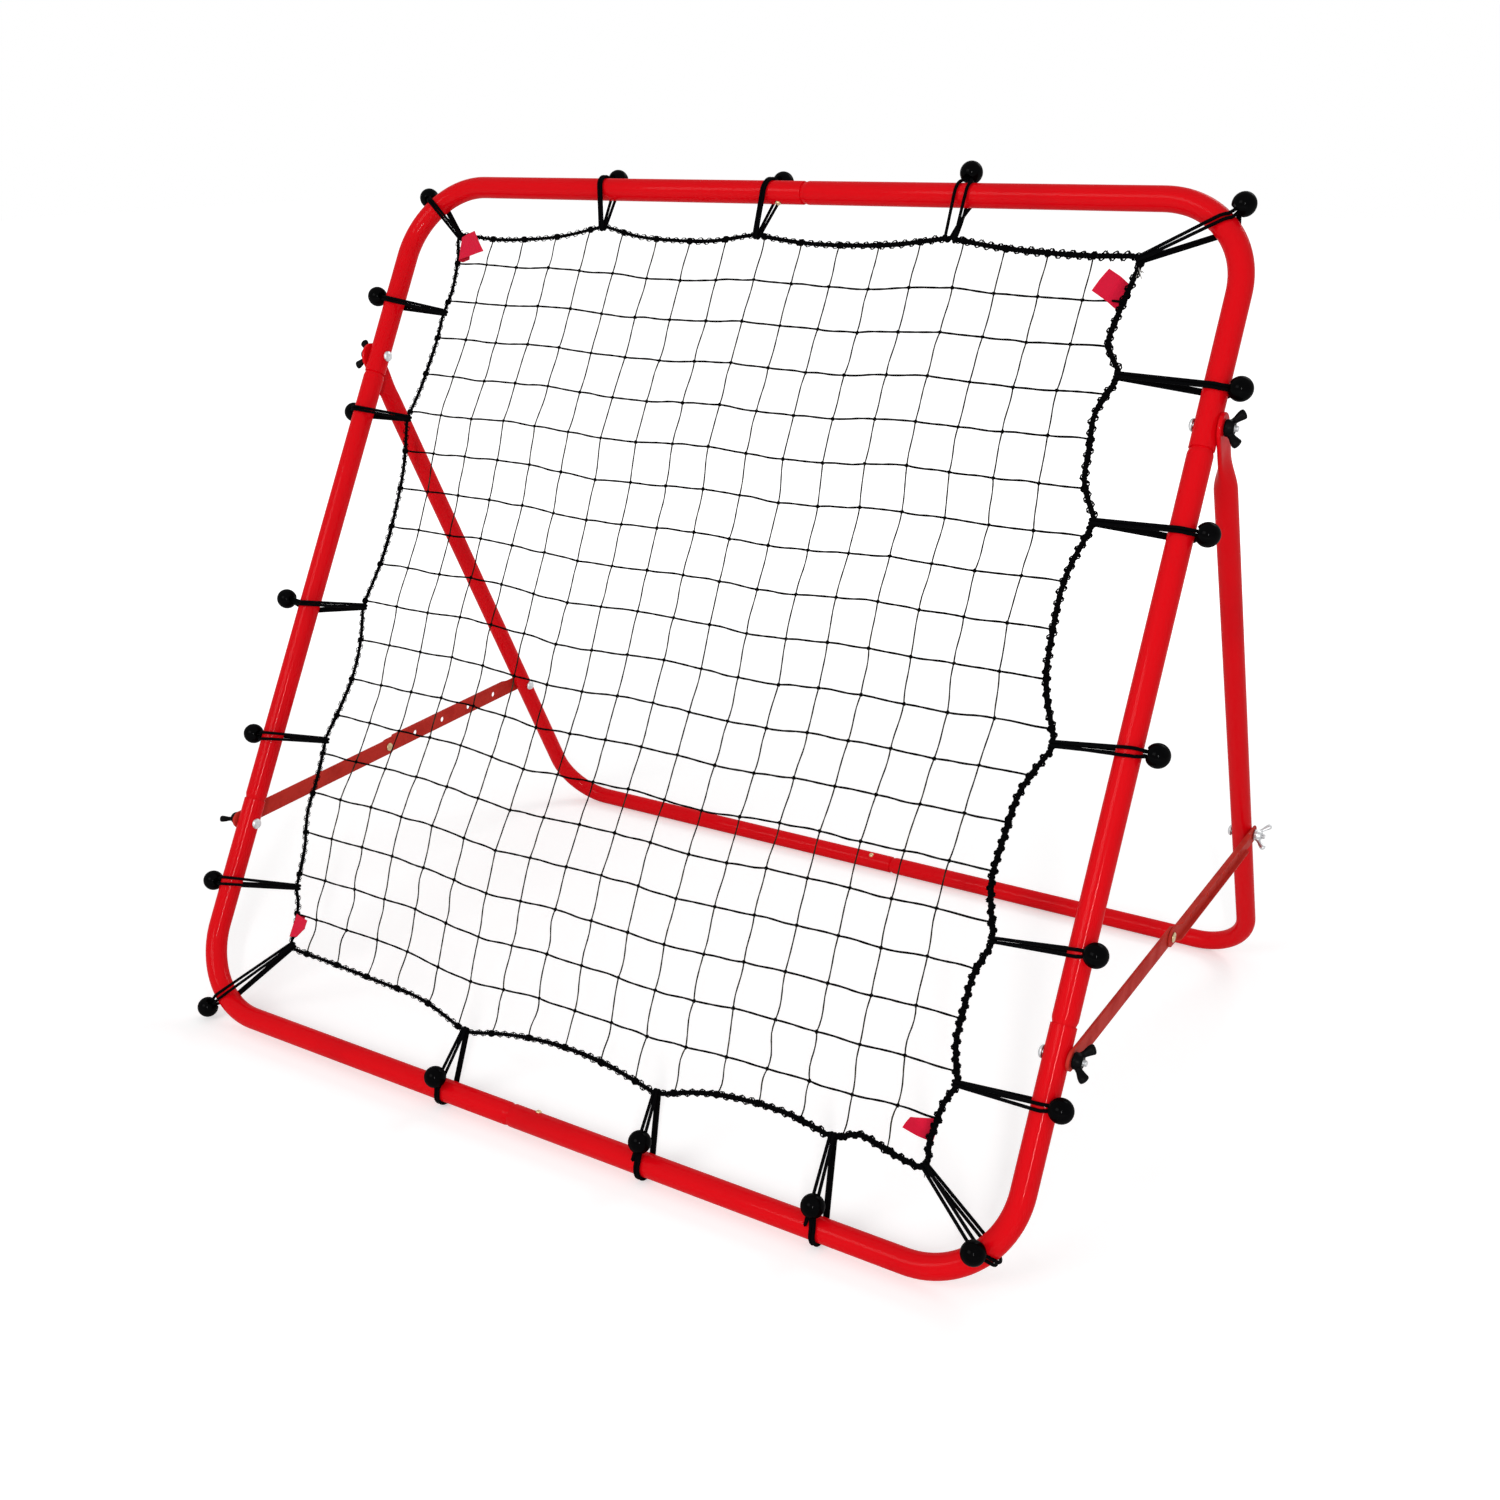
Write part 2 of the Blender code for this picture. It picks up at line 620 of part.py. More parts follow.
def read_edge(places, where, axis):
    """The edge's distance across at a place along it, run straight on past its end points."""
    ordered = sorted(places, key=lambda p: p[axis])
    low, high = ordered[0], ordered[1]
    for a, b in zip(ordered, ordered[1:]):
        low, high = a, b
        if where <= b[axis]:
            break
    t = (where - low[axis]) / (high[axis] - low[axis])
    return low[1 - axis] + (high[1 - axis] - low[1 - axis]) * t


def net_knots():
    """Knot places, from the four edges; BUNGEES runs down the left side and round."""
    left = selvedge(-1, 5)
    bottom = selvedge(5, 9)
    right = selvedge(9, 15)
    top = selvedge(15, 19)
    knots = []
    for j in range(NET_ROWS + 1):
        row = []
        for i in range(NET_COLUMNS + 1):
            across, up = i / NET_COLUMNS, j / NET_ROWS
            point = Vector((0.0, 0.5))
            for _ in range(8):
                x0, x1 = read_edge(left, point.y, 1), read_edge(right, point.y, 1)
                y0, y1 = read_edge(bottom, point.x, 0), read_edge(top, point.x, 0)
                point = Vector((x0 + (x1 - x0) * across, y0 + (y1 - y0) * up))
            row.append(point)
        knots.append(row)
    return knots


def net(name, mat, parent):
    """One closed lattice of three-sided twine, flat behind, with its ridges to the front."""
    knots = net_knots()
    bm = bmesh.new()
    half = TWINE / 2
    corners = ((-half, -half), (half, -half), (half, half), (-half, half))
    base, peak = {}, {}
    for j, row in enumerate(knots):
        for i, point in enumerate(row):
            base[i, j] = [bm.verts.new((point.x + dx, point.y + dy, -half)) for dx, dy in corners]
            peak[i, j] = bm.verts.new((point.x, point.y, half))
            bm.faces.new(base[i, j][::-1])
            edges = (j == 0, i == NET_COLUMNS, j == NET_ROWS, i == 0)
            for k, outside in enumerate(edges):
                if outside:
                    bm.faces.new((base[i, j][k], base[i, j][(k + 1) % 4], peak[i, j]))
    for i, j in base:
        # each twine runs from this crossing's right or upper side to the next crossing
        for step, mine, theirs in (((1, 0), (1, 2), (0, 3)), ((0, 1), (2, 3), (1, 0))):
            beyond = (i + step[0], j + step[1])
            if beyond not in base:
                continue
            start = (base[i, j][mine[0]], base[i, j][mine[1]], peak[i, j])
            end = (base[beyond][theirs[0]], base[beyond][theirs[1]], peak[beyond])
            for k in range(3):
                m = (k + 1) % 3
                bm.faces.new((start[k], start[m], end[m], end[k]))
    return add_object(name, bm, mat, parent)


def frame_point_near(place):
    """The nearest point of the front frame's centre line, and the tube's direction there."""
    half = FRAME_WIDTH / 2
    mid = FRAME_HEIGHT / 2
    x, y = place[0], place[1] - mid
    core_x = math.copysign(half - FRAME_CORNER_R, x)
    core_y = math.copysign(mid - FRAME_CORNER_R, y)
    if abs(x) > abs(core_x) and abs(y) > abs(core_y):
        away = (Vector((x, y)) - Vector((core_x, core_y))).normalized()
        near = Vector((core_x, core_y + mid)) + away * FRAME_CORNER_R
        return near, Vector((-away.y, away.x)), True
    if half - abs(x) < mid - abs(y):
        return Vector((math.copysign(half, x), y + mid)), Vector((0, 1)), False
    return Vector((x, math.copysign(mid, y) + mid)), Vector((1, 0)), False


def bungee(name, rope_place, ball_place, mat, parent):
    """A ball on two turns of elastic cord, each turn round the tube and the border rope."""
    centre, tube_way, on_corner = frame_point_near(ball_place)
    along = pull_of(rope_place, ball_place)
    # a turn sits further out on a bend, where the tube curves away from it
    loop_r = LOOP_R + (0.0010 if on_corner else 0.0)
    reach = (Vector(rope_place) - centre).length
    along = Vector((*along, 0))
    front = Vector((0, 0, 1))
    lateral = along.cross(front)
    origin = Vector((*centre, 0))
    ball = Vector(ball_place)
    offset = ball - origin
    least = TUBE_R + BALL_R + GAP + 0.0002
    if offset.length < least:
        ball = origin + offset.normalized() * least
    toward = (origin - ball).normalized()
    neck = ball + toward * BALL_R * 0.35
    ball_turn = math.degrees(math.atan2((ball - origin).dot(front), (ball - origin).dot(along))) % 360
    hook_r = (ROPE_R + CORD_R + GAP) / math.cos(math.radians(35))
    ball_profile = (
        (-BALL_R * 0.98, BALL_R * 0.26),
        (-BALL_R * 0.70, BALL_R * 0.73),
        (-BALL_R * 0.12, BALL_R),
        (BALL_R * 0.48, BALL_R * 0.88),
        (BALL_R * 0.80, BALL_R * 0.50),
    )
    bm = bmesh.new()
    lathe(bm, ball, toward, ball_profile, BALL_SIDES)
    item = add_object(name, bm, mat, parent)
    rope = origin + along * reach
    for way in (-1, 1):
        across_tube = Vector((*tube_way, 0))
        at_tube = across_tube * (way * TURN_GAP / across_tube.dot(lateral))
        at_rope = lateral * (way * (CORD_R + GAP))
        points = []
        # behind the tube, from the rope's side round to the ball
        turn = -90
        while turn > ball_turn + 32 - 360:
            points.append(polar(origin, along, front, loop_r, turn) + at_tube)
            turn -= TURN_STEP
        points.append(neck + at_tube)
        # in front of the tube, on to the rope and round it
        ahead = [90 + TURN_STEP * k for k in range(4) if 90 + TURN_STEP * k < ball_turn - 32]
        points += [polar(origin, along, front, loop_r, turn) + at_tube for turn in ahead[::-1]]
        points += [polar(rope, along, front, hook_r, turn) + at_rope for turn in (70, 0, -70)]
        rings = []
        for k, point in enumerate(points):
            into = (point - points[k - 1]).normalized()
            away = (points[(k + 1) % len(points)] - point).normalized()
            tangent = (into + away).normalized()
            side_way = (lateral - tangent * lateral.dot(tangent)).normalized()
            rings.append(ring(point, side_way, tangent.cross(side_way), CORD_R, CORD_SIDES))
        bm = bmesh.new()
        loft(bm, rings, closed=True)
        combine(item, bm, "UNION")
    return item


def polar(origin, along, front, radius, turn_deg):
    angle = math.radians(turn_deg)
    return origin + along * (radius * math.cos(angle)) + front * (radius * math.sin(angle))


def tag(name, place, width, height, turn_deg, mat, parent):
    """A small cloth tag in front of the rope, its two ends bent forward."""
    x, y = width / 2, height / 2
    back = ROPE_R + 2 * GAP
    rings = []
    for across, lift in ((-x, TAG_T), (-x / 3, 0.0), (x / 3, 0.0), (x, TAG_T)):
        outline = ((-y, lift), (y, lift), (y, lift + TAG_T), (-y, lift + TAG_T))
        rings.append([Vector((across, up, back + z)) for up, z in outline])
    bm = bmesh.new()
    loft(bm, rings)
    item = add_object(name, bm, mat, parent)
    item.location = (*place, 0)
    item.rotation_euler = (0, 0, math.radians(turn_deg))
    return item


def build():
    clear_scene()
    red = material("red_powder_coat", (0.62, 0.006, 0.012), 0.24)
    strut_red = material("strut_red", (0.42, 0.025, 0.018), 0.42)
    zinc = material("bright_zinc", (0.62, 0.64, 0.64), 0.28, 1.0)
    yellow_zinc = material("yellow_zinc", (0.48, 0.36, 0.20), 0.38, 1.0)
    black_plastic = material("black_plastic", (0.012, 0.012, 0.013), 0.30)
    black_cord = material("black_elastic", (0.010, 0.010, 0.011), 0.62)
    black_twine = material("black_twine", (0.014, 0.013, 0.012), 0.75)
    black_rope = material("black_rope", (0.012, 0.012, 0.012), 0.80)
    tag_red = material("tag_cloth", (0.72, 0.012, 0.055), 0.70)

    front = datum("front_frame_datum", (0, DEPTH_SHIFT, BASE_Z), math.pi / 2 - LEAN)
    rear = datum("rear_frame_pivot", (0, DEPTH_SHIFT + PIVOT_Y, PIVOT_Z), math.pi / 2 + LEG_TILT)

    half = FRAME_WIDTH / 2
    for side, word in ((-1, "left"), (1, "right")):
        corner_tube(f"corner_tube_top_{word}", side, True, red, front)
        corner_tube(f"corner_tube_bottom_{word}", side, False, red, front)
        side_tube(f"side_tube_{word}", side, red, front)
        rear_leg(f"rear_leg_{word}", side, red, rear)

        place_front, place_rear = strut_places(side)
        overlap_hole = HOLE_SPACING * HOLE_STEPS
        length = (place_rear - place_front).length - overlap_hole
        at_front = strut_datum(f"strut_front_pivot_{word}", side, True)
        at_rear = strut_datum(f"strut_rear_pivot_{word}", side, False)
        strut_front(f"strut_front_half_{word}", side, length, strut_red, at_front)
        strut_rear(f"strut_rear_half_{word}", side, strut_red, at_rear)
        pin_half(f"centre_pin_head_{word}", side, -1, yellow_zinc, at_front, length)
        pin_half(f"centre_pin_cap_{word}", side, 1, yellow_zinc, at_rear, -overlap_hole)

        head = half - TUBE_R - GAP
        tail = NUT_BOSS_T + BOLT_TAIL
        base = LEG_X + LEG_FLAT_T / 2 + GAP
        bolt(f"pivot_bolt_{word}", side, head, base + tail, PIVOT_UP, zinc, front)
        nut = f"pivot_wing_nut_{word}"
        wing_nut(nut, side, base, PIVOT_UP, PIVOT_NUT_TURN, PLASTIC_WING_R, black_plastic, front)
        base = half + TUBE_R + STRUT_BAR_T + 3 * GAP
        up = STRUT_FRONT_UP
        bolt(f"strut_front_bolt_{word}", side, head, base + tail, up, zinc, front)
        nut = f"strut_front_wing_nut_{word}"
        turn = STRUT_NUT_TURNS[word]
        wing_nut(nut, side, base, up, turn, PLASTIC_WING_R, black_plastic, front)
        base = LEG_X + REAR_R + STRUT_WEB_T + 3 * GAP
        up = -STRUT_REAR_DOWN
        bolt(f"strut_rear_bolt_{word}", side, LEG_X - REAR_R - GAP, base + tail, up, zinc, rear)
        wing_nut(f"strut_rear_wing_nut_{word}", side, base, up, 100, METAL_WING_R, zinc, rear)

    snap_button("snap_button_top", button_place(True), FRAME_HEIGHT, -1, TUBE_R, yellow_zinc, front)
    snap_button("snap_button_bottom", button_place(False), 0.0, 1, TUBE_R, yellow_zinc, front)
    rear_x = REAR_JOINT_X - BUTTON_SETBACK
    snap_button("snap_button_rear", rear_x, -LEG_LENGTH, 1, REAR_R, yellow_zinc, rear)

    net("net", black_twine, front)
    border_rope("border_rope", black_rope, front)
    for (name, *_), rope_place, ball_place in zip(BUNGEES, ROPE_POINTS, BALLS):
        bungee(f"bungee_{name}", rope_place, ball_place, black_cord, front)
    for name, corner, offset, width, height, turn_deg in TAGS:
        place = on_frame(corner, offset)
        tag(f"tag_{name}", place, width, height, turn_deg, tag_red, front)


build()
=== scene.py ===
import math
import random

import bmesh
import bpy
import numpy as np
from mathutils import Matrix, Vector


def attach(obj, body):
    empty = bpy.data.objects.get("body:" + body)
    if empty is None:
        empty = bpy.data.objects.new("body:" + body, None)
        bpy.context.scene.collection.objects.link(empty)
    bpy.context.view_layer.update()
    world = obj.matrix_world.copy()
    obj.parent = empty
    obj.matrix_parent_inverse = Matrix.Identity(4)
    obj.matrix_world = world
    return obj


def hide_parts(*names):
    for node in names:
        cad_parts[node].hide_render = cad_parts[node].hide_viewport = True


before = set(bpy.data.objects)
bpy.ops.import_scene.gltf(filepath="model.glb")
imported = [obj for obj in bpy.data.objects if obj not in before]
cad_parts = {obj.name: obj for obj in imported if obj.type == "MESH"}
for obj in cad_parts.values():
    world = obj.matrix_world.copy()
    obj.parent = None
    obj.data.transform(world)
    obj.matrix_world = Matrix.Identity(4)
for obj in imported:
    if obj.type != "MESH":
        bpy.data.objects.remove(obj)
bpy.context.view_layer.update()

scene = bpy.context.scene

# Camera
# The photograph was taken from about 1.9 m, to the right of the net's middle and a hand above
# the top bar. Its lens, place and slight tilt come from a fit to the straight tube edges.
PICTURE = 1500
FOCAL_PIXELS = 1610.8
CAMERA_PLACE = Vector((0.9044, -1.4234, 0.9665))
LOOK = Vector((-0.4853, 0.7935, -0.3672)).normalized()
CAMERA_TILT = -0.0109

lens = bpy.data.cameras.new("camera")
lens.sensor_width = 36.0
lens.lens = lens.sensor_width * FOCAL_PIXELS / PICTURE
camera = bpy.data.objects.new("camera", lens)
scene.collection.objects.link(camera)
level = LOOK.cross(Vector((0, 0, 1))).normalized()
upright = level.cross(LOOK)
turned = level * math.cos(CAMERA_TILT) + upright * math.sin(CAMERA_TILT)
camera.matrix_world = Matrix.Translation(CAMERA_PLACE) @ Matrix(
    (turned, turned.cross(LOOK), -LOOK)
).transposed().to_4x4()
scene.camera = camera
scene.view_settings.view_transform = "Standard"

# Floor and studio light
# A white floor that keeps a faint shadow near the frame and glows white farther off, a large soft
# light left of the camera, a narrow one for thin highlights on the tubes, and a weak back light.
FLOOR_SIZE, FLOOR_WHITE, WORLD_LIGHT = 30.0, 0.82, 0.50
# the floor's glow rises from its near value to its far one between two distances from the middle
GLOW_NEAR, GLOW_FAR = (0.5, 0.38), (2.2, 0.75)


def white_where_seen(tree, seen, unseen):
    """Joins a shader for rays from the camera, gloss and glass with one for all other rays."""
    nodes, links = tree.nodes, tree.links
    path = nodes.new("ShaderNodeLightPath")
    is_seen = path.outputs["Is Camera Ray"]
    for word in ("Is Glossy Ray", "Is Transmission Ray"):
        either = nodes.new("ShaderNodeMath")
        either.operation = "MAXIMUM"
        links.new(is_seen, either.inputs[0])
        links.new(path.outputs[word], either.inputs[1])
        is_seen = either.outputs[0]
    mix = nodes.new("ShaderNodeMixShader")
    links.new(is_seen, mix.inputs[0])
    links.new(unseen, mix.inputs[1])
    links.new(seen, mix.inputs[2])
    return mix.outputs[0]


world = bpy.data.worlds.new("studio")
world.use_nodes = True
scene.world = world
tree = world.node_tree
tree.nodes.clear()
backgrounds = []
for strength in (1.0, WORLD_LIGHT):
    background = tree.nodes.new("ShaderNodeBackground")
    background.inputs["Color"].default_value = (1, 1, 1, 1)
    background.inputs["Strength"].default_value = strength
    backgrounds.append(background.outputs[0])
out = tree.nodes.new("ShaderNodeOutputWorld")
joined = white_where_seen(tree, *backgrounds)
tree.links.new(joined, out.inputs["Surface"])

floor_mesh = bpy.data.meshes.new("floor")
corners = [(x * FLOOR_SIZE / 2, y * FLOOR_SIZE / 2, 0) for x, y in ((-1, -1), (1, -1), (1, 1), (-1, 1))]
floor_mesh.from_pydata(corners, [], [(0, 1, 2, 3)])
floor = bpy.data.objects.new("floor", floor_mesh)
scene.collection.objects.link(floor)
white = bpy.data.materials.new("white_floor")
white.use_nodes = True
tree = white.node_tree
tree.nodes.clear()
paper = tree.nodes.new("ShaderNodeBsdfDiffuse")
paper.inputs["Color"].default_value = (FLOOR_WHITE, FLOOR_WHITE, FLOOR_WHITE, 1)
glow = tree.nodes.new("ShaderNodeEmission")
where = tree.nodes.new("ShaderNodeTexCoord")
away = tree.nodes.new("ShaderNodeVectorMath")
away.operation = "LENGTH"
tree.links.new(where.outputs["Object"], away.inputs[0])
rise = tree.nodes.new("ShaderNodeMapRange")
rise.interpolation_type = "SMOOTHSTEP"
for end, (distance, strength) in (("Min", GLOW_NEAR), ("Max", GLOW_FAR)):
    rise.inputs["From " + end].default_value = distance
    rise.inputs["To " + end].default_value = strength
tree.links.new(away.outputs["Value"], rise.inputs["Value"])
tree.links.new(rise.outputs[0], glow.inputs["Strength"])
bright = tree.nodes.new("ShaderNodeAddShader")
tree.links.new(paper.outputs[0], bright.inputs[0])
tree.links.new(glow.outputs[0], bright.inputs[1])
out = tree.nodes.new("ShaderNodeOutputMaterial")
joined = white_where_seen(tree, bright.outputs[0], paper.outputs[0])
tree.links.new(joined, out.inputs["Surface"])
floor_mesh.materials.append(white)

LAMP_AIM = Vector((0, 0, 0.4))
# each lamp's place, width, height and watts
LAMPS = {
    "key_softbox": ((-0.9, -3.2, 2.4), 1.8, 1.4, 34),
    "strip_light": ((1.5, -2.5, 1.3), 0.12, 0.80, 27),
    "back_softbox": ((0.8, 2.6, 2.4), 1.6, 1.2, 22),
}
for name, (place, width, height, watts) in LAMPS.items():
    lamp = bpy.data.lights.new(name, "AREA")
    lamp.shape = "RECTANGLE"
    lamp.size, lamp.size_y, lamp.energy = width, height, watts
    item = bpy.data.objects.new(name, lamp)
    scene.collection.objects.link(item)
    item.location = place
    item.rotation_euler = (LAMP_AIM - Vector(place)).to_track_quat("-Z", "Y").to_euler()

# Front frame tubes
# Four bent corner tubes and two straight side tubes of 24 mm steel, powder coated red. One end
# of each joint is drawn in over 7 mm and plugs 42 mm into the plain end of the next tube.
LEAN = math.radians(29.8)
SHIFT, BASE = -0.3608002, 0.0166759
FRAME_WIDTH, FRAME_HEIGHT, CORNER_R = 1.0, 1.005, 0.090
TUBE_R, TUBE_WALL, GAP = 0.012, 0.0012, 0.0003
UPPER_JOINT, LOWER_JOINT = 0.768, 0.238
TOP_JOINT_X, BOTTOM_JOINT_X = 0.024, -0.034
SPIGOT, SHOULDER, PLUG_BEVEL, PLUG_BEVEL_RUN = 0.042, 0.007, 0.0008, 0.001
BUTTON_SETBACK, BUTTON_HOLE_R = 0.029, 0.0038
PIVOT_UP, STRUT_FRONT_UP = 0.789, 0.212
TUBE_SIDES, BEND_STEPS = 48, 26
SHARP_FROM = math.radians(40)
HALF = FRAME_WIDTH / 2
SIDES = ((-1, "left"), (1, "right"))

front_place = Matrix.Translation((0, SHIFT, BASE)) @ Matrix.Rotation(math.pi / 2 - LEAN, 4, "X")


def eased(t):
    """A share from 0 to 1 that starts and ends gently."""
    return t * t * (3 - 2 * t)


def unit(vectors):
    """Vectors brought to a length of one."""
    return vectors / np.linalg.norm(vectors, axis=-1, keepdims=True)


def run_of(path):
    """How far along a path each of its points lies."""
    steps = np.linalg.norm(np.diff(np.asarray(path, float), axis=0), axis=1)
    return np.concatenate(([0.0], np.cumsum(steps)))


class Shape:
    """Points, faces and wrap coordinates of one piece, gathered before its mesh is made.

    A wrap coordinate is the share of the way round a round piece, and the metres along it."""

    def __init__(self):
        self.points, self.faces, self.wraps, self.count = [], [], [], 0

    def skin(self, rings, along=None, closed=False):
        """Skins rings of equal count. A closed run joins its last ring to its first."""
        rings = np.asarray(rings, float)
        many, sides = rings.shape[:2]
        if along is None:
            along = run_of(rings.mean(axis=1))
        base = self.count
        self.points.append(rings.reshape(-1, 3))
        self.count += many * sides
        spans = many if closed else many - 1
        for i in range(spans):
            j = (i + 1) % many
            far = along[j] if j else 2 * along[-1] - along[-2]
            for k in range(sides):
                m = (k + 1) % sides
                self.faces.append(tuple(base + a * sides + b for a, b in ((i, k), (i, m), (j, m), (j, k))))
                low, high = k / sides, (k + 1) / sides
                self.wraps += [(low, along[i]), (high, along[i]), (high, far), (low, far)]
        if not closed:
            for first, order in ((base, -1), (base + (many - 1) * sides, 1)):
                self.faces.append(tuple(range(first, first + sides))[::order])
                self.wraps += [(0.0, 0.0)] * sides

    def patch(self, grid):
        """A sheet from a grid of points, with wrap coordinates in metres across and along."""
        grid = np.asarray(grid, float)
        rows, columns = grid.shape[:2]
        base = self.count
        self.points.append(grid.reshape(-1, 3))
        self.count += rows * columns
        across = np.linalg.norm(np.diff(grid, axis=1), axis=2).mean()
        along = np.linalg.norm(np.diff(grid, axis=0), axis=2).mean()
        for i in range(rows - 1):
            for k in range(columns - 1):
                a = base + i * columns + k
                self.faces.append((a, a + 1, a + columns + 1, a + columns))
                for x, y in ((k, i), (k + 1, i), (k + 1, i + 1), (k, i + 1)):
                    self.wraps.append((x * across, y * along))


def carried(path, closed=False, seed=(0, 0, 1)):
    """Two directions square to a path at each point, that turn no more than the path does."""
    path = np.asarray(path, float)
    if closed:
        tangents = np.roll(path, -1, axis=0) - np.roll(path, 1, axis=0)
    else:
        tangents = np.gradient(path, axis=0)
    tangents = unit(tangents)
    across = np.cross(tangents[0], np.asarray(seed, float))
    if np.linalg.norm(across) < 1e-3:
        across = np.cross(tangents[0], (0.3, 0.9, 0.2))
    sides = [unit(across)]
    for tangent in tangents[1:]:
        sides.append(unit(sides[-1] - tangent * np.dot(sides[-1], tangent)))
    sides = np.array(sides)
    if closed:
        last = unit(sides[-1] - tangents[0] * np.dot(sides[-1], tangents[0]))
        twist = math.atan2(np.dot(np.cross(sides[0], last), tangents[0]), np.dot(sides[0], last))
        turn = -twist * np.arange(len(path)) / len(path)
        other = np.cross(tangents, sides)
        sides = sides * np.cos(turn)[:, None] + other * np.sin(turn)[:, None]
    return sides, np.cross(tangents, sides)


def rounds(path, radii, sides, closed=False, seed=(0, 0, 1), lobes=0, depth=0.0, lay=1.0):
    """Rings round a path. Lobes are strands that twist once in each lay's length."""
    path = np.asarray(path, float)
    across, other = carried(path, closed, seed)
    radii = np.broadcast_to(np.asarray(radii, float), (len(path),))
    run = run_of(path)
    angle = 2 * np.pi * np.arange(sides) / sides
    radius = np.repeat(radii[:, None], sides, axis=1)
    if lobes:
        if closed:
            total = run[-1] + np.linalg.norm(path[0] - path[-1])
            lay = total / max(round(total / lay), 1)
        phase = 2 * np.pi * run / lay
        dip = np.abs(np.sin(lobes * (angle[None, :] - phase[:, None]) / 2))
        radius = radius * (1 - depth * (1 - dip))
    return (
        path[:, None, :]
        + across[:, None, :] * (radius * np.cos(angle))[..., None]
        + other[:, None, :] * (radius * np.sin(angle))[..., None]
    )


def turned_rings(origin, axis, profile, sides):
    """Rings of a turned piece, from a profile of (distance along the axis, radius)."""
    origin, axis = np.asarray(origin, float), unit(np.asarray(axis, float))
    seed = np.array((0, 0, 1.0)) if abs(axis[2]) < 0.9 else np.array((0, 1.0, 0))
    across = unit(np.cross(axis, seed))
    other = np.cross(axis, across)
    angle = 2 * np.pi * np.arange(sides) / sides
    spokes = across * np.cos(angle)[:, None] + other * np.sin(angle)[:, None]
    return np.array([origin + axis * a + spokes * r for a, r in profile])


def solid(name, shape, place):
    """An object of a shape in its place, with wrap coordinates and all its faces looking out."""
    mesh = bpy.data.meshes.new(name)
    mesh.from_pydata(np.concatenate(shape.points).tolist(), [], shape.faces)
    wrap = mesh.uv_layers.new(name="wrap")
    wrap.data.foreach_set("uv", np.array(shape.wraps, np.float32).ravel())
    mesh.transform(place)
    bm = bmesh.new()
    bm.from_mesh(mesh)
    bmesh.ops.recalc_face_normals(bm, faces=bm.faces)
    bm.to_mesh(mesh)
    bm.free()
    item = bpy.data.objects.new(name, mesh)
    scene.collection.objects.link(item)
    return item


def smooth(item, sharp_from=SHARP_FROM):
    """Shades a piece smooth, except at edges that turn more than an angle."""
    item.data.shade_smooth()
    item.data.set_sharp_from_angle(angle=sharp_from)


def piece(name, shape, finish, place, body, stands_for=()):
    """Makes a piece of a shape, in its place and finish, riding on its body."""
    item = solid(name, shape, place)
    item.data.materials.append(finish)
    smooth(item)
    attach(item, body)
    if stands_for:
        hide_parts(*stands_for)
    return item


def dress(name, shape, finish, place, body):
    """Makes the finished piece that takes the place of the solid of this name."""
    return piece(name + "_finished", shape, finish, place, body, (name,))


def settle(item):
    """Applies a piece's modifiers to its mesh."""
    graph = bpy.context.evaluated_depsgraph_get()
    done = bpy.data.meshes.new_from_object(item.evaluated_get(graph))
    item.modifiers.clear()
    item.data = done


def drill(item, cutters, place):
    """Cuts round holes in a piece, each from (start, end, radius) in the place's own axes."""
    cut = Shape()
    for start, end, radius in cutters:
        run = np.linalg.norm(np.subtract(end, start))
        cut.skin(turned_rings(start, np.subtract(end, start), ((0, radius), (run, radius)), 28))
    tool = solid("cutter", cut, place)
    boolean = item.modifiers.new("holes", "BOOLEAN")
    boolean.object = tool
    boolean.solver = "EXACT"
    settle(item)
    bpy.data.objects.remove(tool)
    smooth(item)


def pattern_group(name, inputs):
    """A node group with numbers as its inputs that puts out a height and a mask."""
    group = bpy.data.node_groups.new(name, "ShaderNodeTree")
    for word, value in inputs.items():
        socket = group.interface.new_socket(word, in_out="INPUT", socket_type="NodeSocketFloat")
        socket.default_value = value
    for word in ("Height", "Mask"):
        group.interface.new_socket(word, in_out="OUTPUT", socket_type="NodeSocketFloat")
    return group, group.nodes.new("NodeGroupInput"), group.nodes.new("NodeGroupOutput")


def grain_group():
    """Fine grain as a height, and a mask that comes and goes over the surface."""
    group, given, result = pattern_group("grain", {"Fine": 900.0, "Broad": 14.0, "Edge": 0.5})
    nodes, links = group.nodes, group.links
    where = nodes.new("ShaderNodeTexCoord")
    noises = []
    for word, detail in (("Fine", 3.0), ("Broad", 5.0)):
        noise = nodes.new("ShaderNodeTexNoise")
        noise.inputs["Detail"].default_value = detail
        links.new(where.outputs["Object"], noise.inputs["Vector"])
        links.new(given.outputs[word], noise.inputs["Scale"])
        noises.append(noise.outputs[0])
    ramp = nodes.new("ShaderNodeMapRange")
    ramp.interpolation_type = "SMOOTHSTEP"
    ramp.inputs["From Max"].default_value = 0.75
    links.new(given.outputs["Edge"], ramp.inputs["From Min"])
    links.new(noises[1], ramp.inputs["Value"])
    links.new(noises[0], result.inputs["Height"])
    links.new(ramp.outputs[0], result.inputs["Mask"])
    return group


grain = grain_group()


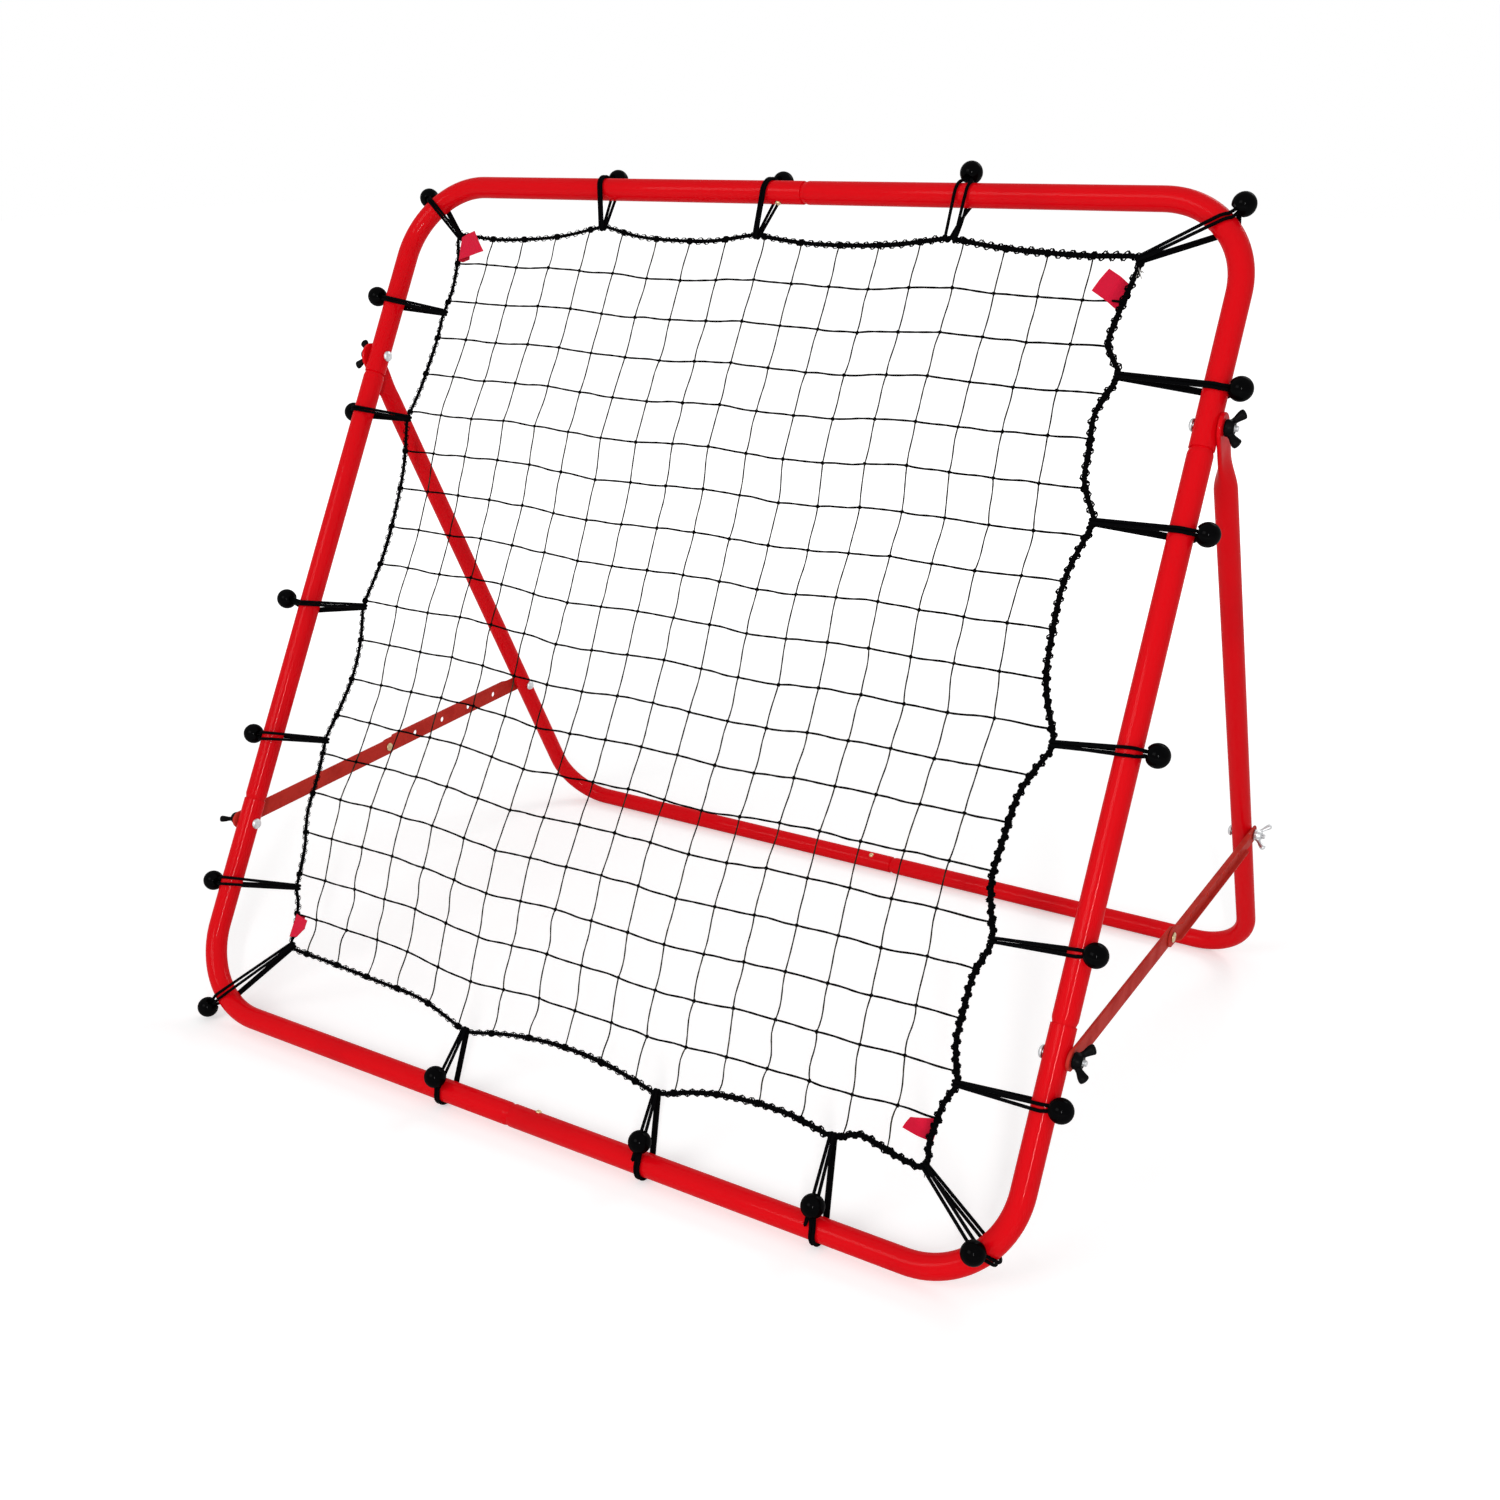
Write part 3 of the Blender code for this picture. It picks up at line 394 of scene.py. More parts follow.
def finish_of(name, main, worn, roughness, bump, group=grain, **values):
    """A finish whose colour, roughness and surface come and go with a node group's outputs.

    Roughness is one value, or one for each colour. The other values go on the group or the shader."""
    mat = bpy.data.materials.new(name)
    mat.use_nodes = True
    nodes, links = mat.node_tree.nodes, mat.node_tree.links
    paint = nodes["Principled BSDF"]
    pattern = nodes.new("ShaderNodeGroup")
    pattern.node_tree = group
    for word, value in values.items():
        socket = word.replace("_", " ")
        (pattern if socket in pattern.inputs else paint).inputs[socket].default_value = value
    colour = nodes.new("ShaderNodeMix")
    colour.data_type = "RGBA"
    colour.inputs["A"].default_value = (*main, 1)
    colour.inputs["B"].default_value = (*worn, 1)
    links.new(pattern.outputs["Mask"], colour.inputs["Factor"])
    links.new(colour.outputs["Result"], paint.inputs["Base Color"])
    if isinstance(roughness, tuple):
        rough = nodes.new("ShaderNodeMapRange")
        rough.inputs["To Min"].default_value, rough.inputs["To Max"].default_value = roughness
        links.new(pattern.outputs["Mask"], rough.inputs["Value"])
        links.new(rough.outputs[0], paint.inputs["Roughness"])
    else:
        paint.inputs["Roughness"].default_value = roughness
    relief = nodes.new("ShaderNodeBump")
    relief.inputs["Distance"].default_value = bump
    links.new(pattern.outputs["Height"], relief.inputs["Height"])
    links.new(relief.outputs[0], paint.inputs["Normal"])
    return mat


red_coat = finish_of(
    "red_powder_coat", (0.70, 0.0022, 0.0062), (0.63, 0.0020, 0.0060), (0.36, 0.44), 0.00005,
    Fine=650.0, Broad=9.0, Specular_IOR_Level=0.006, Coat_Weight=0.10, Coat_Roughness=0.085,
)


def bend(centre, radius, start_deg, end_deg):
    """Points of an arc in the frame's plane."""
    turn = np.radians(np.linspace(start_deg, end_deg, BEND_STEPS + 1))
    return [(centre[0] + radius * math.cos(a), centre[1] + radius * math.sin(a), 0) for a in turn]


def drawn_in(large, small):
    """The drawn-in end of a tube: (distance from the joint, radius) from the plug's tip."""
    run = [(-SPIGOT, small - PLUG_BEVEL), (-SPIGOT + PLUG_BEVEL_RUN, small), (-0.0002, small)]
    return run + [(SHOULDER * t, small + (large - small) * eased(t)) for t in np.linspace(0, 1, 9)]


def plain_end(large):
    """The plain end of a tube at its joint: a cut edge with its burr rounded off."""
    return [(0.0009, large), (0.0003, large - 0.0002), (0.0, large - 0.0005)]


def tube(path, radii):
    """A tube's outside and bore along a path, as one closed skin."""
    outer = rounds(path, radii, TUBE_SIDES)
    inner = rounds(path, [r - TUBE_WALL for r in radii], TUBE_SIDES)
    run = run_of(path)
    shape = Shape()
    shape.skin(np.concatenate((outer, inner[::-1])), np.concatenate((run, run[::-1])), closed=True)
    return shape


NECK = TUBE_R - TUBE_WALL - GAP
for side, word in SIDES:
    for top in (True, False):
        bar_up = FRAME_HEIGHT if top else 0.0
        joint_x = TOP_JOINT_X if top else BOTTOM_JOINT_X
        inward = -1 if top else 1
        side_joint = UPPER_JOINT if top else LOWER_JOINT
        start = 90.0 if top else -90.0
        end = 0.0 if side > 0 else (180.0 if top else -180.0)
        centre = (side * (HALF - CORNER_R), bar_up + inward * CORNER_R)
        has_plug = (side > 0) == top
        joint = drawn_in(TUBE_R, NECK) if has_plug else plain_end(TUBE_R)[::-1]
        path = [(joint_x + side * a, bar_up, 0) for a, _ in joint]
        radii = [r for _, r in joint]
        arc = bend(centre, CORNER_R, start, end)
        path += arc
        radii += [TUBE_R] * len(arc)
        for a, r in plain_end(TUBE_R):
            path.append((side * HALF, side_joint + inward * a, 0))
            radii.append(r)
        name = f"corner_tube_{'top' if top else 'bottom'}_{word}"
        bent = dress(name, tube(path, radii), red_coat, front_place, "front_frame")
        if not has_plug:
            button_x = joint_x + inward * BUTTON_SETBACK
            hole = ((button_x, bar_up, 0), (button_x, bar_up + inward * 0.02, 0), BUTTON_HOLE_R)
            drill(bent, [hole], front_place)

    lower, upper = drawn_in(TUBE_R, NECK), drawn_in(TUBE_R, NECK)[::-1]
    path = [(side * HALF, LOWER_JOINT + a, 0) for a, _ in lower]
    path += [(side * HALF, UPPER_JOINT - a, 0) for a, _ in upper]
    radii = [r for _, r in lower + upper]
    dress(f"side_tube_{word}", tube(path, radii), red_coat, front_place, "front_frame")

# Rear legs
# Two bent legs of 22 mm tube in the same red, joined in the middle of the rear bar. Each leg's
# top is pressed flat and drilled, with a rounded tip, and hangs on the pivot bolt outside.
LEG_LENGTH, LEG_TILT = 0.770, math.radians(26.292)
PIVOT_Y, PIVOT_Z = 0.0313118, 0.7013422
REAR_R, REAR_CORNER_R, REAR_JOINT_X = 0.011, 0.065, 0.031
LEG_TIP, LEG_FLAT, LEG_ROUND = 0.0135, 0.022, 0.070
FLAT_HALF, FLAT_HALF_T = 0.0155, 0.0020
LEG_X = HALF + TUBE_R + GAP + FLAT_HALF_T
BORE_SHOWN = 0.020

rear_place = (Matrix.Translation((0, PIVOT_Y, PIVOT_Z))
              @ Matrix.Rotation(math.pi / 2 + LEG_TILT, 4, "X"))


def pressed_section(wide, thick, roundness):
    """A section between a pressed flat, with the metal folded at its edges, and a round tube."""
    straight = wide - thick
    quarter = straight + thick * math.pi / 2
    turn = 2 * np.pi * np.arange(TUBE_SIDES) / TUBE_SIDES
    # how far round its quarter each point lies: along the flat side, then round the fold
    way = quarter * np.abs((turn / (np.pi / 2) + 1) % 2 - 1)
    fold = np.maximum(way - straight, 0) / thick
    x = thick * np.cos(fold) * np.sign(np.cos(turn).round(9))
    z = (np.minimum(way, straight) + thick * np.sin(fold)) * np.sign(np.sin(turn).round(9))
    return np.stack((x * (1 - roundness) + REAR_R * np.cos(turn) * roundness,
                     z * (1 - roundness) + REAR_R * np.sin(turn) * roundness), axis=1)


for side, word in SIDES:
    x = side * LEG_X
    rings = []
    for k in range(9):
        turn = math.radians(80 - 10 * k)
        wide = max(FLAT_HALF * math.cos(turn), FLAT_HALF_T * 1.2)
        y = LEG_TIP - FLAT_HALF + FLAT_HALF * math.sin(turn)
        thick = FLAT_HALF_T * (0.7 if k == 0 else 1.0)
        rings.append([(x - a, y, b) for a, b in pressed_section(wide, thick, 0.0)])
    for t in np.linspace(0, 1, 15):
        y = -LEG_FLAT - (LEG_ROUND - LEG_FLAT) * t
        rings.append([(x - a, y, b) for a, b in pressed_section(FLAT_HALF, FLAT_HALF_T, eased(t))])
    centre = (side * (LEG_X - REAR_CORNER_R), -LEG_LENGTH + REAR_CORNER_R)
    start, end = (0.0, -90.0) if side > 0 else (180.0, 270.0)
    arc = bend(centre, REAR_CORNER_R, start, end)
    joint = drawn_in(REAR_R, REAR_R - TUBE_WALL - GAP)[::-1] if side > 0 else plain_end(REAR_R)
    path = arc + [(REAR_JOINT_X + side * a, -LEG_LENGTH, 0) for a, _ in joint]
    radii = [REAR_R] * len(arc) + [r for _, r in joint]
    outer = rounds(path, radii, TUBE_SIDES)
    # the first round ring starts where the pressed sections start, so the skin doesn't twist
    start_at = np.argmin(np.linalg.norm(outer[0] - np.array(rings[-1][0]) * (1, 0, 1)
                                        - np.array((0, outer[0][:, 1].mean(), 0)), axis=1))
    outer = np.roll(outer, -start_at, axis=1)
    quarter = TUBE_SIDES // 4
    if np.linalg.norm((outer[0][quarter] - np.array(rings[-1][quarter])) * (1, 0, 1)) > REAR_R:
        outer = np.roll(outer[:, ::-1], 1, axis=1)
    end_ring = outer[-1]
    middle = end_ring.mean(axis=0)
    bore = middle + (end_ring - middle) * ((radii[-1] - TUBE_WALL) / radii[-1])
    deep = bore + np.array((side * BORE_SHOWN, 0, 0))
    shape = Shape()
    shape.skin(np.concatenate((np.array(rings), outer, [bore, deep])))
    dress(f"rear_leg_{word}", shape, red_coat, rear_place, "rear_frame")

# Struts
# Each side has a strut of two halves, pressed from sheet and coated in a thinner red that has
# gone dull: a flat bar from the front frame, and a drilled channel from the leg, with lips.
STRUT_HALF, STRUT_END = 0.010, 0.011
BAR_T, WEB_T, LIP, LIP_T = 0.003, 0.002, 0.006, 0.0015
HOLE_STEP, HOLE_STEPS, HOLE_R = 0.055, 5, 0.0036
LIP_FROM_PIN, LIP_FROM_BOLT, LIP_RISE, EDGE_R = 0.010, 0.022, 0.007, 0.0006
STRUT_FRONT = Vector((0.51545, -0.2554418, 0.2006422))
STRUT_REAR = Vector((0.52545, 0.2749322, 0.2082406))
OVERLAP = HOLE_STEP * HOLE_STEPS

strut_coat = finish_of(
    "strut_coat", (0.52, 0.034, 0.024), (0.44, 0.024, 0.018), (0.46, 0.60), 0.00008,
    Fine=800.0, Broad=40.0, Edge=0.45, Specular_IOR_Level=0.012, Coat_Weight=0.03, Coat_Roughness=0.35,
)


def strut_frame(side, point):
    """Axes at a strut bolt: out from the frame, along the strut to the back, and across it."""
    mirror = Vector((side, 1, 1))
    run = ((STRUT_REAR - STRUT_FRONT) * mirror).normalized()
    outer = (Vector((1, 0, 0)) - run * run.x).normalized()
    turn = Matrix((outer, run, outer.cross(run))).transposed().to_4x4()
    return Matrix.Translation(point * mirror) @ turn


def strut_skin(shape, side, inner, thick, start, end, lip_start=None, lip_end=None):
    """A pressed strip with round ends, and a lip along both edges between two places."""
    stations = []
    for k in range(13):
        turn = math.radians(86 * (1 - k / 12))
        stations.append(start + STRUT_HALF * (1 - math.sin(turn)))
    middle = np.arange(start + STRUT_HALF + 0.002, end - STRUT_HALF - 0.001, 0.0025)
    stations += list(middle) + [start + end - y for y in stations[::-1]]
    rings = []
    for y in stations:
        past = max(start + STRUT_HALF - y, y - (end - STRUT_HALF), 0) / STRUT_HALF
        wide = STRUT_HALF * math.sqrt(max(1 - past * past, 0.0012))
        lip = 0.0
        if lip_start is not None:
            lip = (LIP - thick) * eased(min(max(min(y - lip_start, lip_end - y) / LIP_RISE, 0), 1))
        low, face = inner, inner + thick
        top = face + lip
        lip_t = min(LIP_T, wide * 0.8)
        edge = min(EDGE_R, wide * 0.3)
        half_ring = [
            (low, wide - 2 * edge), (low + edge * 0.35, wide - edge * 0.6), (low + edge * 1.2, wide),
            (top - edge * 0.5, wide), (top, wide - edge * 0.5), (top, wide - lip_t + edge * 0.4),
            (top - lip * 0.05 - 1e-5, wide - lip_t), (face, wide - lip_t - edge * 0.5),
        ]
        ring = half_ring + [(a, -b) for a, b in half_ring[::-1]]
        rings.append([(side * a, y, b) for a, b in ring])
    shape.skin(rings)


front_length = (STRUT_REAR - STRUT_FRONT).length - OVERLAP
# each half's bolt, inner face and thickness, its ends, its lip's ends and its holes
STRUT_HALVES = (
    ("front", STRUT_FRONT, -GAP / 2 - BAR_T, BAR_T, (-STRUT_END, front_length + STRUT_END),
     (), (0.0, front_length)),
    ("rear", STRUT_REAR, GAP / 2, WEB_T, (-OVERLAP - STRUT_END, STRUT_END),
     (-OVERLAP + LIP_FROM_PIN, -LIP_FROM_BOLT), [-k * HOLE_STEP for k in range(HOLE_STEPS + 1)]),
)
for side, word in SIDES:
    for which, bolt, inner, thick, ends, lip, holes in STRUT_HALVES:
        place = strut_frame(side, bolt)
        shape = Shape()
        strut_skin(shape, side, inner, thick, *ends, *lip)
        name = f"strut_{which}_half_{word}"
        bar = dress(name, shape, strut_coat, place, name)
        drill(bar, [((-0.02, y, 0), (0.02, y, 0), HOLE_R) for y in holes], place)

# Centre pins and snap buttons
# A short pin in yellow zinc joins the halves of each strut, with a head inside and a pressed
# cap outside. Three spring buttons in the same zinc stand in the bars and lock their joints.
PIN_R, PIN_HEAD_R = 0.0033, 0.0052

yellow_zinc = finish_of(
    "yellow_zinc", (0.52, 0.40, 0.22), (0.40, 0.26, 0.15), (0.30, 0.48), 0.00002,
    Fine=2500.0, Broad=220.0, Metallic=1.0,
)


def dome(base, rise, radius, steps, whole):
    """A dome's profile from its rim on, in steps of which this many would make it whole."""
    turns = (math.radians(90 * k / whole) for k in range(steps))
    return [(base + rise * math.sin(t), radius * math.cos(t)) for t in turns]


for side, word in SIDES:
    places = (
        ("centre_pin_head", -1, BAR_T, STRUT_FRONT, front_length, f"strut_front_half_{word}"),
        ("centre_pin_cap", 1, WEB_T, STRUT_REAR, -OVERLAP, f"strut_rear_half_{word}"),
    )
    for kind, way, thick, point, along, body in places:
        face = GAP / 2 + thick + GAP
        profile = [(GAP / 2 + 0.0002, PIN_R), (face, PIN_R),
                   (face, PIN_HEAD_R * 0.97), (face + 0.0003, PIN_HEAD_R)]
        profile += dome(face + 0.0007, 0.0013, PIN_HEAD_R, 8, 7.3)
        if way > 0:
            # the cap's crown is pressed in
            profile[-3:] = [(face + 0.0012, PIN_HEAD_R * 0.36), (face + 0.0011, PIN_HEAD_R * 0.05)]
        shape = Shape()
        shape.skin(turned_rings((0, along, 0), (side * way, 0, 0), profile, 32))
        dress(f"{kind}_{word}", shape, yellow_zinc, strut_frame(side, point), body)

buttons = (
    ("top", TOP_JOINT_X - BUTTON_SETBACK, FRAME_HEIGHT, -1, TUBE_R, front_place),
    ("bottom", BOTTOM_JOINT_X + BUTTON_SETBACK, 0.0, 1, TUBE_R, front_place),
    ("rear", REAR_JOINT_X - BUTTON_SETBACK, -LEG_LENGTH, 1, REAR_R, rear_place),
)
for word, x, bar_up, inward, surface, place in buttons:
    profile = [(-0.005, PIN_R), (-0.0003, PIN_R)] + dome(-0.0003, 0.0025, PIN_R, 9, 8.2)
    shape = Shape()
    shape.skin(turned_rings((x, bar_up + inward * surface, 0), (0, inward, 0), profile, 28))
    name = f"snap_button_{word}"
    dress(name, shape, yellow_zinc, place, name)

# Bolts
# Six M6 bolts in bright zinc run outward through the tubes, with low domed heads on the inner
# side and 3.5 mm of thread showing past each nut.
BOLT_R, HEAD_R, HEAD_T, HEAD_RIM, THREAD = 0.0030, 0.0062, 0.0042, 0.0009, 0.0010
BOSS_T, TAIL, STRUT_REAR_UP = 0.0085, 0.0035, -0.550

bright_zinc = finish_of(
    "bright_zinc", (0.56, 0.57, 0.58), (0.42, 0.42, 0.43), (0.38, 0.52), 0.00002,
    Fine=3000.0, Broad=260.0, Metallic=1.0,
)

nut_bases = {}
for side, word in SIDES:
    head = HALF - TUBE_R - GAP
    runs = (
        ("pivot", head, LEG_X + FLAT_HALF_T + GAP, PIVOT_UP, front_place, "front_frame"),
        ("strut_front", head, HALF + TUBE_R + BAR_T + 3 * GAP, STRUT_FRONT_UP, front_place, "front_frame"),
        ("strut_rear", LEG_X - REAR_R - GAP, LEG_X + REAR_R + WEB_T + 3 * GAP, STRUT_REAR_UP,
         rear_place, "rear_frame"),
    )
    for kind, head_x, base, up, place, body in runs:
        shape = Shape()
        profile = [(-HEAD_T, HEAD_R * 0.02)]
        for k in range(1, 12):
            t = math.radians(90 * k / 11)
            profile.append((-HEAD_RIM - (HEAD_T - HEAD_RIM) * math.cos(t), HEAD_R * math.sin(t)))
        profile += [(-0.0002, HEAD_R), (0.0, HEAD_R * 0.96), (0.0, BOLT_R), (base - head_x, BOLT_R)]
        shape.skin(turned_rings((side * head_x, up, 0), (side, 0, 0), profile, 36))
        start, end = base - 0.001, base + BOSS_T + TAIL
        run = np.arange(start, end, THREAD / 6)
        line = [(side * x, up, 0) for x in run]
        taper = [BOLT_R * min(1.0, 0.82 + (end - x) * 180) for x in run]
        shape.skin(rounds(line, taper, 20, seed=(0, 1, 0), lobes=1, depth=0.16, lay=THREAD))
        dress(f"{kind}_bolt_{word}", shape, bright_zinc, place, body)
        nut_bases[kind, word] = (side, base, up, place)

# Wing nuts
# The pivots and front strut bolts have moulded black nuts with two thick rounded wings in a V;
# the rear strut bolts have thinner cast ones in bright zinc. Each turns on its own bolt.
BOSS_R, METAL_BOSS, NUT_CLEARANCE, NUT_VOXEL = 0.0078, 0.82, 0.0002, 0.00055
WING_REACH, WING_FLATNESS, PLASTIC_WING_R, METAL_WING_R = 0.0152, 0.72, 0.0046, 0.0030
# each wing's run: shares of its reach out along the bolt and away from it, then of its half width
WING = np.array(((0.24, 0.30, 0.70), (0.36, 0.42, 0.66), (0.52, 0.56, 0.74), (0.68, 0.74, 0.96),
                 (0.84, 0.89, 1.10), (0.94, 0.96, 1.04), (1.00, 1.00, 0.62)))
NUT_TURNS = {"pivot_left": 0, "pivot_right": 0, "strut_front_left": 110, "strut_front_right": 165,
             "strut_rear_left": 100, "strut_rear_right": 100}

black_moulding = finish_of(
    "black_moulding", (0.0030, 0.0030, 0.0034), (0.0060, 0.0060, 0.0066), (0.30, 0.42), 0.00005,
    Fine=1800.0, Broad=120.0, Specular_IOR_Level=0.010, Coat_Weight=0.04, Coat_Roughness=0.30,
)

for (kind, word), (side, base, up, place) in nut_bases.items():
    metal = kind == "strut_rear"
    boss, wing_r = (BOSS_R * METAL_BOSS, METAL_WING_R) if metal else (BOSS_R, PLASTIC_WING_R)
    out_way = np.array((side, 0.0, 0.0))
    origin = np.array((side * base, up, 0.0))
    hole = BOLT_R + NUT_CLEARANCE
    profile = ((0, boss * 0.94), (0.0005, boss), (BOSS_T * 0.45, boss), (BOSS_T * 0.8, boss * 0.86),
               (BOSS_T, boss * 0.74), (BOSS_T, hole), (0.0, hole))
    shape = Shape()
    shape.skin(turned_rings(origin, out_way, profile, 40), closed=True)
    stations = np.linspace(0, len(WING) - 1, 22)
    along_wing, from_bolt, share = (np.interp(stations, range(len(WING)), WING[:, c]) for c in range(3))
    size = share * wing_r
    size[-3:] *= (0.97, 0.86, 0.58)
    for half_turn in (0, 180):
        angle = math.radians(NUT_TURNS[f"{kind}_{word}"] + half_turn)
        radial = np.array((0, math.cos(angle), math.sin(angle)))
        flat = np.cross(out_way, radial)
        line = origin + (along_wing[:, None] * out_way + from_bolt[:, None] * radial) * WING_REACH
        line[1:-1] = (line[:-2] + 2 * line[1:-1] + line[2:]) / 4
        wide = np.cross(unit(np.gradient(line, axis=0)), flat)
        turn = 2 * np.pi * np.arange(20) / 20
        shape.skin(line[:, None] + wide[:, None] * (size[:, None] * np.cos(turn))[..., None]
                   + flat * (size[:, None] * WING_FLATNESS * np.sin(turn))[..., None])
    name = f"{kind}_wing_nut_{word}"
    finish, slot = (bright_zinc, "bolts") if metal else (black_moulding, "black_wing_nuts")
    nut = dress(name, shape, finish, place, name)
    fuse = nut.modifiers.new("fuse", "REMESH")
    fuse.mode, fuse.voxel_size = "VOXEL", NUT_VOXEL
    soften = nut.modifiers.new("soften", "SMOOTH")
    soften.factor, soften.iterations = 0.5, 4
    settle(nut)
    nut.data.shade_smooth()

# Ball bungees
# Each is a glossy black ball, notched toward the tube, on two runs of woven elastic. The runs go
# over the front of the tube, round the border rope, and back behind the tube into the notch.
ROPE_R, CORD_R, BALL_R, NOTCH_R = 0.0021, 0.0017, 0.0115, 0.0050
# the clearances of ball and tube, cord and tube, and cord and rope
BALL_GAP, LOOP_GAP, HOOK_GAP = 0.0005, 0.0004, 0.0001
# how far from the ball's middle the cords leave it and its notch lies, as shares of its radius
NECK_SHARE, NOTCH_SHARE = 0.42, 0.94
ARC_STEP, PATH_STEP = math.radians(11), 0.0016
HOOK_REACH = 0.0015     # how far the tip of a bungee's hook stands past the rope's centre
PINCH = 0.62            # a hook squeezes the rope to this share of its radius
# name, the hook's place, ball, then in millimetres: for the front and the back pair of runs,
# half their spread at the tube and at the rope and how far along the tube they cross it, and
# how far the rope hangs in at a quarter, a half and three quarters of the way to the next
BUNGEES = (
    ("left_1", (-0.418, 0.848), (-0.523, 0.86, 0.0064), (1.7, 1.7, 4.6), (1.7, 1.7, 3.5), (2.5, 3, 2.5)),
    ("left_2", (-0.4282, 0.716), (-0.5228, 0.7186, -0.0075),
     (1.7, 1.7, 1), (1.7, 1.7, 0.5), (10, 13, 10)),
    ("left_3", (-0.416, 0.487), (-0.5268, 0.4776, 0.0112), (1.7, 1.7, 2), (1.7, 1.7, 3), (9, 12, 7)),
    ("left_4", (-0.417, 0.326), (-0.5225, 0.3132, 0.008), (3.7, 2, -0.5), (1.7, 1.7, -3), (-3, -7, -1)),
    ("left_5", (-0.399, 0.156), (-0.5233, 0.1351, 0.0055), (3.8, 2, -4), (1.7, 1.7, -2.5), (3, 3, 3)),
    ("corner_bottom_left", (-0.383, 0.092), (-0.479, -0.005, 0.004),
     (3, 1.7, 6.5), (1.7, 1.7, 4.5), (3, 6.5, 9)),
    ("bottom_1", (-0.12, 0.066), (-0.1269, 0.0131, 0.0205), (3, 1.7, 0), (1.7, 1.7, 3), (10, 14, 10)),
    ("bottom_2", (0.122, 0.07), (0.1257, 0.0213, 0.0145), (3, 1.7, 0), (1.7, 1.7, 3), (9, 12, 9)),
    ("bottom_3", (0.314, 0.085), (0.3175, 0.0206, 0.0145), (3, 1.7, 0), (1.7, 1.7, 5), (8, 5, 1)),
    ("corner_bottom_right", (0.406, 0.086), (0.477, 0.032, 0.026), (3, 1.7, 0), (2.2, 1.7, 4), (4, 4, 4)),
    ("right_5", (0.416, 0.163), (0.5191, 0.1683, 0.0143), (2.8, 1.7, -2.5), (1.7, 1.7, 0), (8, 9, 8)),
    ("right_4", (0.417, 0.295), (0.5178, 0.3042, 0.016), (3, 1.7, -2), (1.7, 1.7, 1), (15, 17, 15)),
    ("right_3", (0.429, 0.48), (0.526, 0.4869, 0.0014), (3.6, 1.7, -3), (1.7, 1.7, 0.5), (15, 18, 15)),
    ("right_2", (0.416, 0.689), (0.5238, 0.6893, 0.0017),
     (1.7, 1.7, -1.8), (1.7, 1.7, -2.5), (13, 14, 14)),
    ("right_1", (0.406, 0.83), (0.5233, 0.824, 0.0054), (1.7, 1.7, -1.5), (1.7, 1.7, 0), (14, 11, 5)),
    ("corner_top_right", (0.4, 0.944), (0.487, 0.999, 0.004),
     (2.6, 1.7, -1), (1.7, 1.7, -2.5), (3, 4, 3)),
    ("top_3", (0.204, 0.958), (0.2084, 1.0285, 0.0005), (6, 5.2, 0), (-3, 3, 0), (6, 8, 6)),
    ("top_2", (-0.021, 0.955), (-0.0148, 1.0238, -0.0149), (1.7, 1.7, 3.5), (2.8, 1.7, 0.5), (8, 10, 8)),
    ("top_1", (-0.224, 0.959), (-0.2318, 1.0238, -0.0149), (1.7, 1.7, 1), (3, 1.7, -0.5), (7, 9, 7)),
    ("corner_top_left", (-0.426, 0.942), (-0.4932, 0.9907, -0.003),
     (1.7, 1.7, -4.5), (1.7, 1.7, -7.5), (4, 5, 4)),
)


def woven_group():
    """The woven cover of a cord: two sets of threads that cross as they wind round it."""
    group, given, result = pattern_group("woven_cover", {"Threads": 8.0, "Pitch": 400.0})
    nodes, links = group.nodes, group.links
    wrap = nodes.new("ShaderNodeUVMap")
    wrap.uv_map = "wrap"
    parts = nodes.new("ShaderNodeSeparateXYZ")
    links.new(wrap.outputs[0], parts.inputs[0])

    def worked(kind, *values):
        """The output of a math node that takes other outputs or plain numbers."""
        node = nodes.new("ShaderNodeMath")
        node.operation = kind
        for socket, value in zip(node.inputs, values):
            if isinstance(value, (int, float)):
                socket.default_value = value
            else:
                links.new(value, socket)
        return node.outputs[0]

    around = worked("MULTIPLY", parts.outputs["X"], given.outputs["Threads"])
    along = worked("MULTIPLY", parts.outputs["Y"], given.outputs["Pitch"])
    waves = []
    for way in ("ADD", "SUBTRACT"):
        phase = worked("MULTIPLY", worked(way, around, along), 2 * math.pi)
        waves.append(worked("ABSOLUTE", worked("SINE", phase)))
    weave = worked("MAXIMUM", *waves)
    links.new(weave, result.inputs["Height"])
    links.new(worked("POWER", weave, 3.0), result.inputs["Mask"])
    return group


woven = woven_group()
elastic_cover = finish_of(
    "elastic_cover", (0.0008, 0.0008, 0.0010), (0.0032, 0.0032, 0.0038), 0.62, 0.0002, woven,
    Threads=4.0, Pitch=420.0, Specular_IOR_Level=0.006,
)
black_ball = finish_of(
    "black_ball", (0.0008, 0.0008, 0.0010), (0.0016, 0.0016, 0.0020), (0.30, 0.40), 0.00002,
    Fine=900.0, Broad=90.0, Specular_IOR_Level=0.002, Coat_Weight=0.045, Coat_Roughness=0.06,
)


def frame_point_near(place):
    """The nearest point of the front frame's centre line, and the tube's direction there."""
    mid = FRAME_HEIGHT / 2
    x, y = place[0], place[1] - mid
    core_x, core_y = math.copysign(HALF - CORNER_R, x), math.copysign(mid - CORNER_R, y)
    if abs(x) > abs(core_x) and abs(y) > abs(core_y):
        away = (Vector((x, y)) - Vector((core_x, core_y))).normalized()
        return Vector((core_x, core_y + mid)) + away * CORNER_R, Vector((-away.y, away.x))
    if HALF - abs(x) < mid - abs(y):
        return Vector((math.copysign(HALF, x), y + mid)), Vector((0, 1))
    return Vector((x, math.copysign(mid, y) + mid)), Vector((1, 0))


